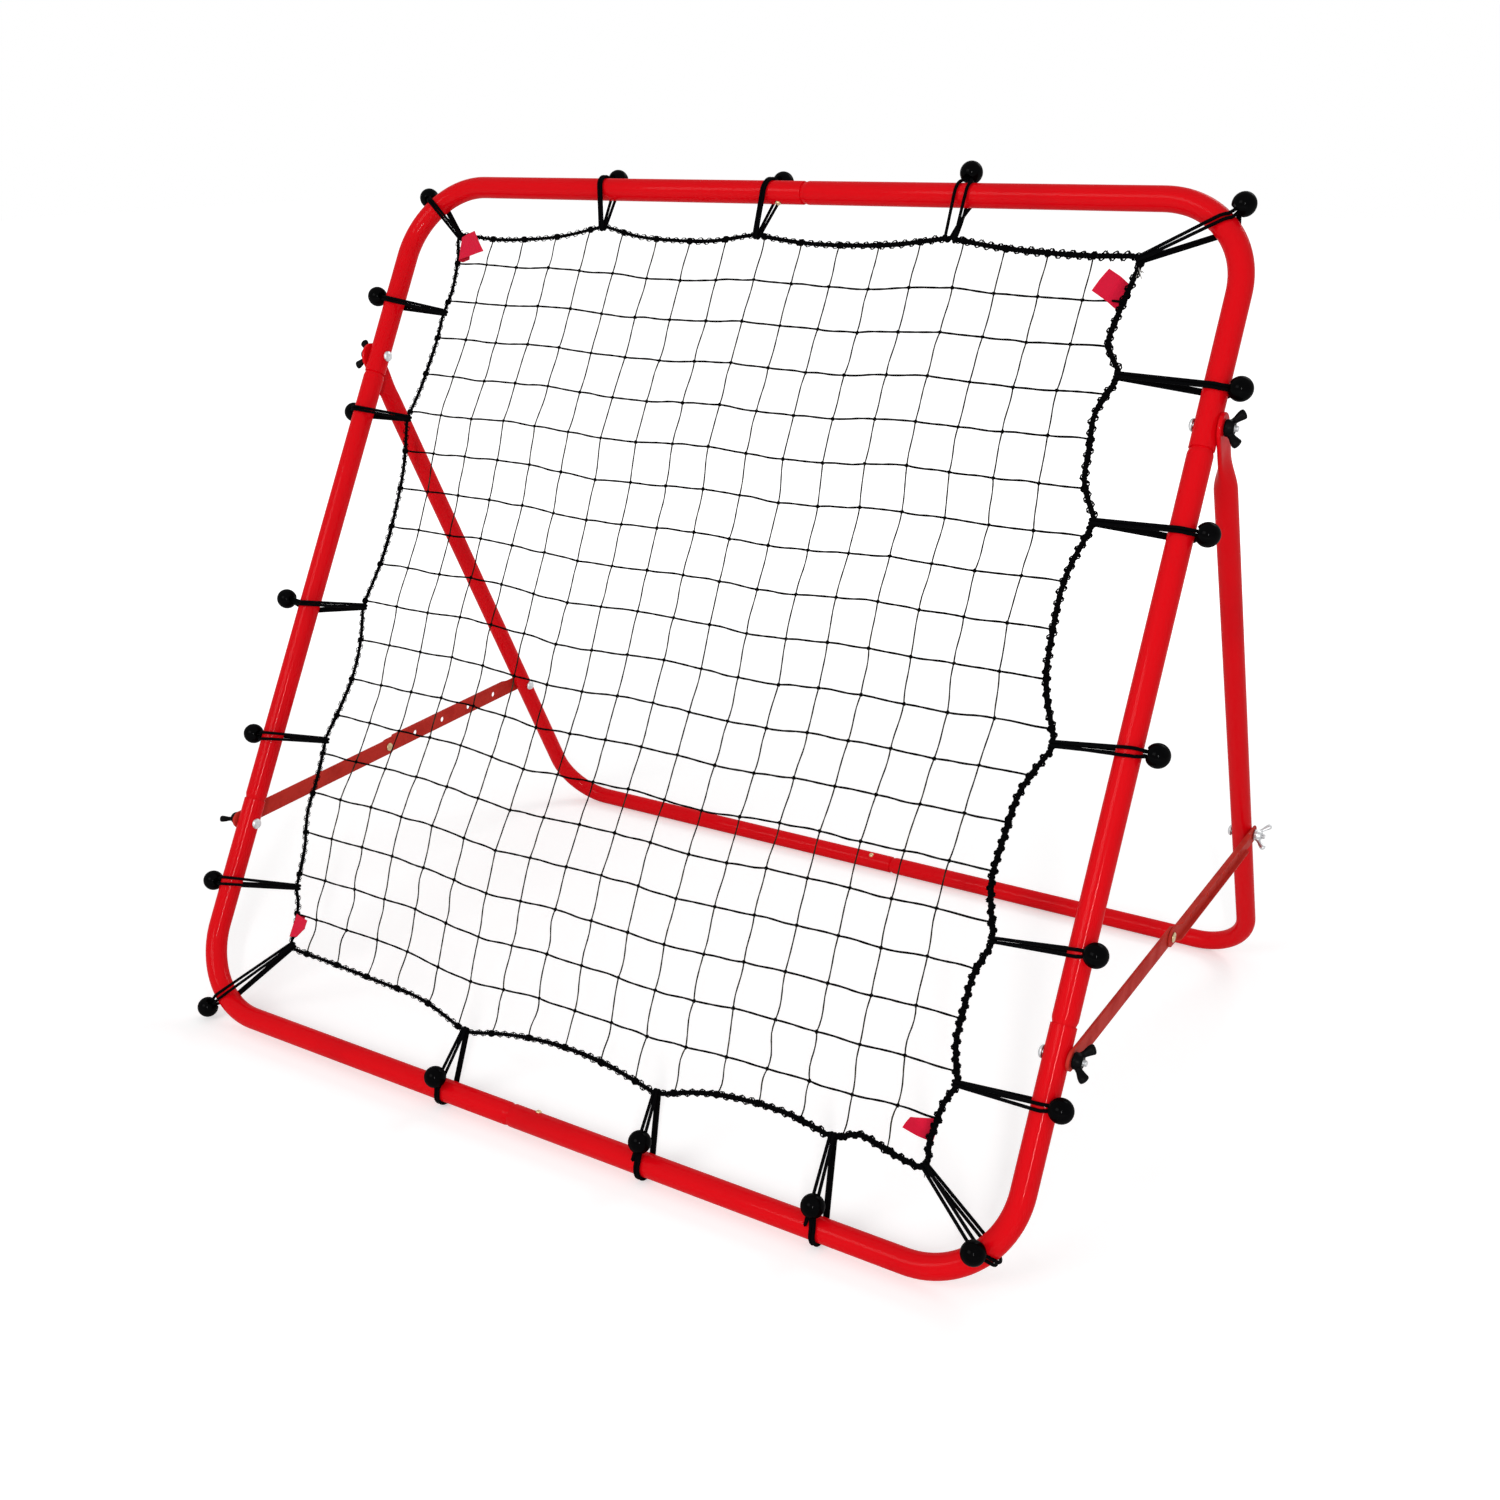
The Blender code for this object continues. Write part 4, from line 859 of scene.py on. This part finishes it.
def smooth_run(points, step, closed=False):
    """A smooth line through points, with points about a step apart."""
    points = np.asarray(points, float)
    count = len(points)
    line = []
    for k in range(count if closed else count - 1):
        if closed:
            a, b, c, d = (points[(k + n) % count] for n in (-1, 0, 1, 2))
        else:
            a, b = points[max(k - 1, 0)], points[k]
            c, d = points[k + 1], points[min(k + 2, count - 1)]
        many = max(int(np.linalg.norm(c - b) / step), 1)
        for t in np.arange(many) / many:
            line.append(0.5 * (2 * b + (c - a) * t + (2 * a - 5 * b + 4 * c - d) * t ** 2
                               + (3 * b - a - 3 * c + d) * t ** 3))
    if not closed:
        line.append(points[-1])
    return np.array(line)


for name, rope_place, ball_place, front_pair, back_pair, _ in BUNGEES:
    near, tube_way = frame_point_near(ball_place)
    pull = Vector(rope_place) - near
    reach = pull.length - HOOK_REACH
    along = Vector((*pull.normalized(), 0))
    front = Vector((0, 0, 1))
    lateral = along.cross(front)
    origin = Vector((*near, 0))
    across_tube = Vector((*tube_way, 0))
    at_tube = across_tube / across_tube.dot(lateral)
    ball = Vector(ball_place)
    least = TUBE_R + BALL_R + BALL_GAP
    if (ball - origin).length < least:
        ball = origin + (ball - origin).normalized() * least
    toward = (origin - ball).normalized()
    neck = ball + toward * BALL_R * NECK_SHARE
    loop_r = TUBE_R + CORD_R + LOOP_GAP
    hook_r = ROPE_R * PINCH + CORD_R + HOOK_GAP
    offset = ball - origin
    ball_turn = math.atan2(offset.dot(front), offset.dot(along)) % (2 * math.pi)
    # the straight runs touch the loop round the tube and the hook round the rope
    front_off = math.pi / 2 - math.asin((loop_r - hook_r) / reach)
    leave = math.acos(min(loop_r / max((neck - origin).length, loop_r), 1))
    shape = Shape()

    def spot(centre_at, radius, turn, side_step):
        """A point on a turn round the tube or the rope, some way along the bungee's pull."""
        return (origin + along * (centre_at + radius * math.cos(turn))
                + front * (radius * math.sin(turn)) + side_step)

    def steps_of(pair, way):
        """How far a run of a pair stands to the side at the tube and at the rope."""
        wide, slim, shift = (0.001 * v for v in pair)
        return at_tube * (way * wide + shift), lateral * (way * slim)

    def straight(begin, finish_at, crossing=0.0):
        """A run from the tube to the rope. Where the pair crosses, its runs pass each other."""
        for share in (0.2, 0.4, 0.6, 0.8):
            yield begin.lerp(finish_at, share) + front * (crossing * math.sin(math.pi * share))

    for way in (-1, 1):
        over_step, over_hook = steps_of(front_pair, way)
        under_step, under_hook = steps_of(back_pair, way)
        crossing = way * CORD_R * 1.1 if back_pair[0] * back_pair[1] < 0 else 0.0
        first = ball_turn - leave
        turns = np.arange(front_off, first, ARC_STEP) if first > front_off else [front_off]
        over = [spot(0, loop_r, t, over_step) for t in turns]
        turns = np.arange(2 * math.pi - front_off, ball_turn + leave, -ARC_STEP)
        behind = [spot(0, loop_r, t, under_step) for t in turns]
        line = [neck + toward * -0.003 + lateral * (way * 0.0016), neck + lateral * (way * 0.0018)]
        line += over[::-1]
        line += straight(over[0], spot(reach, hook_r, front_off, over_hook))
        for t in np.linspace(front_off, -front_off, 9):
            part = (front_off - t) / (2 * front_off)
            line.append(spot(reach, hook_r, t, over_hook.lerp(under_hook, part)))
        line += list(straight(behind[0], spot(reach, hook_r, -front_off, under_hook), crossing))[::-1]
        line += behind + [neck + lateral * (way * 0.0020) + toward * 0.0004,
                          neck + toward * -0.003 + lateral * (way * 0.0018)]
        path = smooth_run([tuple(p) for p in line], PATH_STEP)
        shape.skin(rounds(path, CORD_R * 0.98, 12, seed=tuple(lateral)))
    piece(f"bungee_{name}_cord", shape, elastic_cover, front_place, "front_frame",
          (f"bungee_{name}",))

    # the ball is round but for a small flat toward the tube, with the notch across it
    turns = [math.radians(7.2 * k) for k in range(1, 20)]
    profile = [(-1.0, 0.02)] + [(-math.cos(t), math.sin(t)) for t in turns]
    profile += [(0.765, 0.60), (0.775, 0.02)]
    shape = Shape()
    shape.skin(turned_rings(ball, toward, [(BALL_R * a, BALL_R * r) for a, r in profile], 40))
    item = piece(f"bungee_{name}_ball", shape, black_ball, front_place, "front_frame")
    notch_way = toward.cross(lateral).normalized() * 0.02
    notch_at = ball + toward * BALL_R * NOTCH_SHARE
    drill(item, [(tuple(notch_at - notch_way), tuple(notch_at + notch_way), NOTCH_R)], front_place)

# Border rope
# A black twisted rope runs through the bungees all round the net and hangs in between them. Two
# thin twines wind round it opposite ways, and stand off it in small loops that light shows through.
ROPE_LAY, ROPE_LOBES, ROPE_DIP, HOOK_STRAIGHT = 0.012, 3, 0.40, 0.0030
# the twines' lay, how far off the rope they keep and how much more their loops add, their radius,
# then what the right side adds: a share to the rope's radius, and metres to the twines' loops
# and radius
LOOP_LAY, LOOP_LEAST, LOOP_MOST, LOOP_TWINE_R = 0.0108, 0.0009, 0.0018, 0.00042
FULLER_ROPE, FULLER_LOOP, FULLER_TWINE = 0.45, 0.0009, 0.00033


def rope_ends(index, back):
    """The ends of the short straight on which a bungee pulls, some way back from its hook's tip."""
    _, rope_place, ball_place, *_ = BUNGEES[index % len(BUNGEES)]
    pull = (Vector(rope_place) - frame_point_near(ball_place)[0]).normalized()
    half_run = Vector((pull.y, -pull.x)) * HOOK_STRAIGHT
    centre = Vector(rope_place) - pull * back
    return centre - half_run, centre + half_run


rope_line = []
for index in range(len(BUNGEES)):
    start, end = rope_ends(index, 0)[1], rope_ends(index + 1, 0)[0]
    run = end - start
    inward = Vector((-run.y, run.x)).normalized() * 0.001
    rope_line.append((*rope_ends(index, HOOK_REACH)[1], 0.0))
    for share, amount in zip((0.25, 0.5, 0.75), BUNGEES[index][5]):
        rope_line.append((*(start + run * share + inward * amount), 0.0))
    rope_line.append((*rope_ends(index + 1, HOOK_REACH)[0], 0.0))
rope_path = smooth_run(rope_line, PATH_STEP, closed=True)

rope_fibre = finish_of(
    "rope_fibre", (0.0020, 0.0020, 0.0024), (0.012, 0.012, 0.012), (0.72, 0.82), 0.0003,
    Fine=2600.0, Broad=420.0, Edge=0.62, Specular_IOR_Level=0.006,
)


def evened(values, many):
    """The mean of each value of a closed run and those after it."""
    return np.convolve(np.concatenate((values, values[:many - 1])), np.ones(many) / many, "valid")


knot_draw = random.Random(11)
shape = Shape()
wobble = evened(np.array([knot_draw.uniform(-1, 1) for _ in range(len(rope_path))]), 9)
# the rope and its twines are fuller toward the right, and drawn together in each bungee's hook
fullness = np.clip((rope_path[:, 0] + 0.15) / 0.5, 0, 1)
hooks = np.array([(*rope_place, 0.0) for _, rope_place, *_ in BUNGEES])
to_hook = np.linalg.norm(rope_path[:, None] - hooks[None], axis=2).min(axis=1)
squeeze = 1 - (1 - PINCH) * np.exp(-(to_hook / 0.005) ** 2)
rope_radii = ROPE_R * (1 + wobble * 0.22) * (1 + FULLER_ROPE * fullness) * squeeze
shape.skin(rounds(rope_path, rope_radii, 14, closed=True, lobes=ROPE_LOBES, depth=ROPE_DIP,
                  lay=ROPE_LAY), closed=True)
rope_across, rope_other = carried(rope_path, closed=True)
for way in (-1, 1):
    phase = way * 2 * np.pi * run_of(rope_path) / LOOP_LAY + way
    reach = ROPE_R + LOOP_LEAST + LOOP_MOST * np.abs(evened(wobble, 5))
    reach = (reach + FULLER_LOOP * fullness) * squeeze
    wound = rope_path + (rope_across * (np.cos(phase) * reach)[:, None]
                         + rope_other * (np.sin(phase) * reach)[:, None])
    shape.skin(rounds(wound[:-2], LOOP_TWINE_R + FULLER_TWINE * fullness[:-2], 5))

# Net
# Black knotted mesh of 45.6 mm, 18 cells by 19: the rows are a heavy black twine, the columns
# a thinner one that shows olive-brown. Every crossing is a pulled-down knot 4 to 5 mm across.
MESH, COLUMNS, ROWS = 0.0456, 17, 18
FIRST_X, FIRST_UP = -0.3718, 0.9041
ROW_TWINE_R, COLUMN_TWINE_R, TWINE_LAY, NET_HANG = 0.00116, 0.00083, 0.0055, 0.003
KNOT_SIZE, KNOT_TWINE_R = 0.00052, 0.00080
# how far the twines bow between knots, and how much more the columns do in the last two meshes
ROW_BOW, COLUMN_BOW, LOW_COLUMN_BOW = 0.0006, 0.0007, 0.0010
# how the bungees pull the mesh out of square, in millimetres: each row's shift to the right and
# its stretch at the ends, and each column's lift at the top and its drop by the bottom
ROW_SHIFTS = (-3.6, -3.9, -4.9, -5.9, -5.7, 0.5, 2.5, 3.4, 4.8,
              7.1, 8.3, 8.2, 5.7, 3.6, 1.3, 3.4, 7.0, 12.2)
ROW_STRETCHES = (0.8, 0.5, -0.4, 1.0, 4.7, 5.2, 0.7, -1.4, 0.1,
                 3.8, 0.1, -3.1, -4.4, -2.5, 2.7, 1.2, -2.1, -1.3)
COLUMN_LIFTS = (4.4, 3.1, 5.6, 4.3, 1.5, -1.2, -1.3, 0.7, 2.9, -0.5, -1.8, -1.7, 1.7, 3.6, 0.4, -1.1, -1.4)
COLUMN_DROPS = (7.2, 4.9, 8.7, 8.7, 10.5, 11.8, 9.5, 9.7, 12.5, 9.3, 10.0, 7.9, 7.3, 8.9, 4.4, 2.3, -1.0)

row_twine = finish_of(
    "row_twine", (0.0020, 0.0020, 0.0020), (0.008, 0.007, 0.005), (0.70, 0.82), 0.0003,
    Fine=3200.0, Broad=160.0, Edge=0.55, Specular_IOR_Level=0.006,
)
column_twine = finish_of(
    "column_twine", (0.010, 0.0095, 0.007), (0.060, 0.052, 0.032), (0.70, 0.82), 0.0003,
    Fine=3200.0, Broad=60.0, Edge=0.46, Specular_IOR_Level=0.006,
)

# each side's stretch of the rope, from one corner's bungee to the next
rope_sides = {}
for side_word, corners in {"left": (19, 5), "bottom": (5, 9), "right": (9, 15), "top": (15, 19)}.items():
    a, b = (int(np.argmin(np.linalg.norm(rope_path - hooks[k], axis=1))) for k in corners)
    rope_sides[side_word] = rope_path[a:b] if a < b else np.concatenate((rope_path[a:], rope_path[:b]))


def rope_point(side_word, where):
    """The rope's point on one side, at a distance across or up."""
    line = rope_sides[side_word]
    axis = 1 if side_word in ("left", "right") else 0
    where = min(max(where, line[:, axis].min()), line[:, axis].max())
    order = np.argsort(line[:, axis])
    other = np.interp(where, line[order, axis], line[order, 1 - axis])
    return np.array((where, other, 0.0) if axis == 0 else (other, where, 0.0))


grid = {}
for i in range(COLUMNS):
    for j in range(ROWS):
        across, down = 2 * i / (COLUMNS - 1) - 1, j / (ROWS - 1)
        hang = math.sin(math.pi * (i + 1) / (COLUMNS + 1)) * math.sin(math.pi * (j + 1) / (ROWS + 1))
        to_right = ROW_SHIFTS[j] + ROW_STRETCHES[j] * across + knot_draw.uniform(-0.9, 0.9)
        upward = COLUMN_LIFTS[i] - COLUMN_DROPS[i] * down + knot_draw.uniform(-0.9, 0.9)
        grid[i, j] = np.array((FIRST_X + MESH * i + 0.001 * to_right,
                               FIRST_UP - MESH * j + 0.001 * upward, -NET_HANG * hang))
ends = {}
for i in range(COLUMNS):
    for side_word, j in (("top", 0), ("bottom", ROWS - 1)):
        ends[side_word, i] = rope_point(side_word, grid[i, j][0])
for j in range(ROWS):
    for side_word, i in (("left", 0), ("right", COLUMNS - 1)):
        ends[side_word, j] = rope_point(side_word, grid[i, j][1])


def twine_run(start, end, slack, radius, shape):
    """One twine from a knot to the next, bowed a little to one side."""
    bow = [knot_draw.uniform(-slack, slack) for _ in range(3)]
    run = end - start
    sideways = np.cross(unit(run), (0, 0, 1.0))
    line = []
    for t in np.linspace(0, 1, 8):
        sway = bow[0] * math.sin(math.pi * t) + bow[1] * math.sin(2 * math.pi * t)
        line.append(start + run * t + sideways * sway + (0, 0, bow[2] * math.sin(math.pi * t)))
    shape.skin(rounds(line, radius, 7, lobes=2, depth=0.30, lay=TWINE_LAY))


rows_shape, columns_shape, knots_shape = Shape(), Shape(), Shape()
for j in range(ROWS):
    line = [ends["left", j]] + [grid[i, j] for i in range(COLUMNS)] + [ends["right", j]]
    for a, b in zip(line, line[1:]):
        twine_run(a, b, ROW_BOW, ROW_TWINE_R, rows_shape)
for i in range(COLUMNS):
    line = [ends["top", i]] + [grid[i, j] for j in range(ROWS)] + [ends["bottom", i]]
    for step, (a, b) in enumerate(zip(line, line[1:])):
        slack = COLUMN_BOW + (LOW_COLUMN_BOW if step > ROWS - 3 else 0.0)
        twine_run(a, b, slack, COLUMN_TWINE_R, columns_shape)


def knot_line(size):
    """A trefoil, the path of a pulled-down knot."""
    turns = np.linspace(0, 2 * math.pi, 30, endpoint=False)
    return size * np.stack((np.sin(turns) + 2 * np.sin(2 * turns), np.cos(turns) - 2 * np.cos(2 * turns),
                            -1.1 * np.sin(3 * turns)), axis=1)


for (i, j), point in grid.items():
    turn, tip = knot_draw.uniform(0, 2 * math.pi), knot_draw.uniform(-0.4, 0.4)
    spin = np.array(Matrix.Rotation(turn, 3, "Z") @ Matrix.Rotation(tip, 3, "X"))
    path = point + knot_line(KNOT_SIZE) @ spin.T
    knots_shape.skin(rounds(path, KNOT_TWINE_R, 6, closed=True), closed=True)

piece("net_rows", rows_shape, row_twine, front_place, "front_frame", ("net",))
piece("net_columns", columns_shape, column_twine, front_place, "front_frame")
piece("net_knots", knots_shape, row_twine, front_place, "front_frame")

# Lashings
# Where each twine meets the rope it takes three turns round it. The rope's own ends are knotted
# at the corners, and at the top right a grey frayed end stands out of the knot.
LASHING_TURNS, LASHING_LENGTH, LASHING_R = 3, 0.0046, 0.00074
CORNER_KNOT_SIZE, CORNER_KNOT_R, STRAND_R = 0.00085, 0.0015, 0.00040
FRAYED_CORNER = 15
# the bungee at each corner, and which way its knot hangs off the rope
CORNER_KNOTS = ((FRAYED_CORNER, (0.003, -0.010, 0)), (19, (-0.002, 0.006, 0)),
                (5, (-0.002, -0.005, 0)), (9, (0.003, -0.005, 0)))

for point in ends.values():
    near = int(np.argmin(np.linalg.norm(rope_path - point, axis=1)))
    ahead = unit(rope_path[(near + 2) % len(rope_path)] - rope_path[(near - 2) % len(rope_path)])
    line = []
    for t in np.linspace(0, 1, 36):
        phase = 2 * math.pi * LASHING_TURNS * t
        reach = ROPE_R + 0.0005 + 0.0005 * math.sin(math.pi * t)
        line.append(rope_path[near] + ahead * (t - 0.5) * LASHING_LENGTH
                    + (rope_across[near] * math.cos(phase) + rope_other[near] * math.sin(phase)) * reach)
    shape.skin(rounds(line, LASHING_R, 6))
frayed = Shape()
for index, drop in CORNER_KNOTS:
    corner, way = hooks[index], np.array(drop)
    path = corner + way * 0.5 + knot_line(CORNER_KNOT_SIZE)
    shape.skin(rounds(path, CORNER_KNOT_R, 8, closed=True), closed=True)
    is_frayed = index == FRAYED_CORNER
    for _ in range(7 if is_frayed else 3):
        tip = corner + way * 1.5 + np.array([knot_draw.uniform(-0.0035, 0.0035) for _ in range(3)])
        line = smooth_run([corner + way * 0.6, corner + way + (0, 0, 0.002), tip], 0.0015)
        (frayed if is_frayed else shape).skin(rounds(line, STRAND_R, 5))
frayed_end = finish_of(
    "frayed_end", (0.30, 0.29, 0.27), (0.10, 0.10, 0.09), (0.80, 0.90), 0.0002,
    Fine=2600.0, Broad=500.0, Specular_IOR_Level=0.006,
)
piece("border_rope_twisted", shape, rope_fibre, front_place, "front_frame", ("border_rope",))
piece("border_rope_frayed_end", frayed, frayed_end, front_place, "front_frame")

# Cloth tags
# Four bits of thin red cloth mark the net's corners. The left ones are folded over the border
# rope, the right ones are stitched on behind it, and their flaps lie over the first mesh.
TAG_T, FOLD_R, FLAP_UP = 0.0006, ROPE_R + 0.0019, 0.003
# name, the edge at the rope, the free edge, whether it folds over the rope, and how far the
# lower end of the free edge curls up
TAGS = (
    ("top_left", ((-0.4181, 0.9413), (-0.4160, 0.9275), (-0.4133, 0.9135)),
     ((-0.4037, 0.9488), (-0.3934, 0.9370), (-0.3830, 0.9248)), True, 0.0),
    ("top_right", ((0.3987, 0.9194), (0.3957, 0.9064), (0.3928, 0.8934)),
     ((0.3751, 0.9327), (0.3689, 0.9217), (0.3628, 0.9106)), False, 0.0),
    ("bottom_left", ((-0.3840, 0.1268), (-0.3850, 0.1145), (-0.3857, 0.1011)),
     ((-0.3683, 0.1239), (-0.3682, 0.1141), (-0.3776, 0.1028)), True, 0.0),
    ("bottom_right", ((0.4094, 0.1288), (0.4086, 0.1170), (0.4077, 0.1059)),
     ((0.3843, 0.1228), (0.3829, 0.1178), (0.3817, 0.1127)), False, 0.009),
)

tag_cloth = finish_of(
    "tag_cloth", (0.62, 0.006, 0.030), (0.76, 0.012, 0.050), 0.78, 0.00015, woven,
    Threads=900.0, Pitch=900.0, Specular_IOR_Level=0.006, Sheen_Weight=0.10,
)


def along_edge(edge, share):
    """The point at a share of the way along an edge of three points."""
    return np.array([*(np.interp(share, (0, 0.5, 1), axis) for axis in zip(*edge)), 0.0])


for name, rope_edge, free_edge, folded, curl in TAGS:
    rows = []
    for u in np.linspace(0, 1, 15):
        held, free = along_edge(rope_edge, u), along_edge(free_edge, u)
        flap = free - held
        length = np.linalg.norm(flap)
        way = flap / length
        line = []
        for t in np.linspace(1, 0, 15):
            rest = FOLD_R * 0.9
            if not folded:
                # behind the rope, then up through the mesh and over its first twine
                rest = -rest + (FLAP_UP + rest) * eased(min(max((t - 0.12) / 0.36, 0), 1))
            ripple = 0.0012 * t * math.sin(3.0 * u + 1.0) + 0.0006 * t * math.sin(5 * t + 4 * u)
            lift = rest + ripple + curl * max(t + 0.9 * u - 0.95, 0)
            line.append(held + way * length * t + (0, 0, lift))
        if folded:
            for turn in np.radians(np.linspace(110, 250, 9)):
                line.append(held + way * (FOLD_R * math.cos(turn)) + (0, 0, FOLD_R * math.sin(turn)))
            for t in np.linspace(0.06, 0.24, 6):
                lift = -FOLD_R * 0.9 - 0.0006 * math.sin(4 * t + 3 * u)
                line.append(held + way * length * t + (0, 0, lift))
        rows.append(line)
    shape = Shape()
    shape.patch(rows)
    cloth = piece(f"tag_{name}_cloth", shape, tag_cloth, front_place, "front_frame",
                  (f"tag_{name}",))
    thick = cloth.modifiers.new("cloth", "SOLIDIFY")
    thick.thickness = TAG_T
    thick.offset = 0.0
    settle(cloth)
    smooth(cloth, math.radians(50))
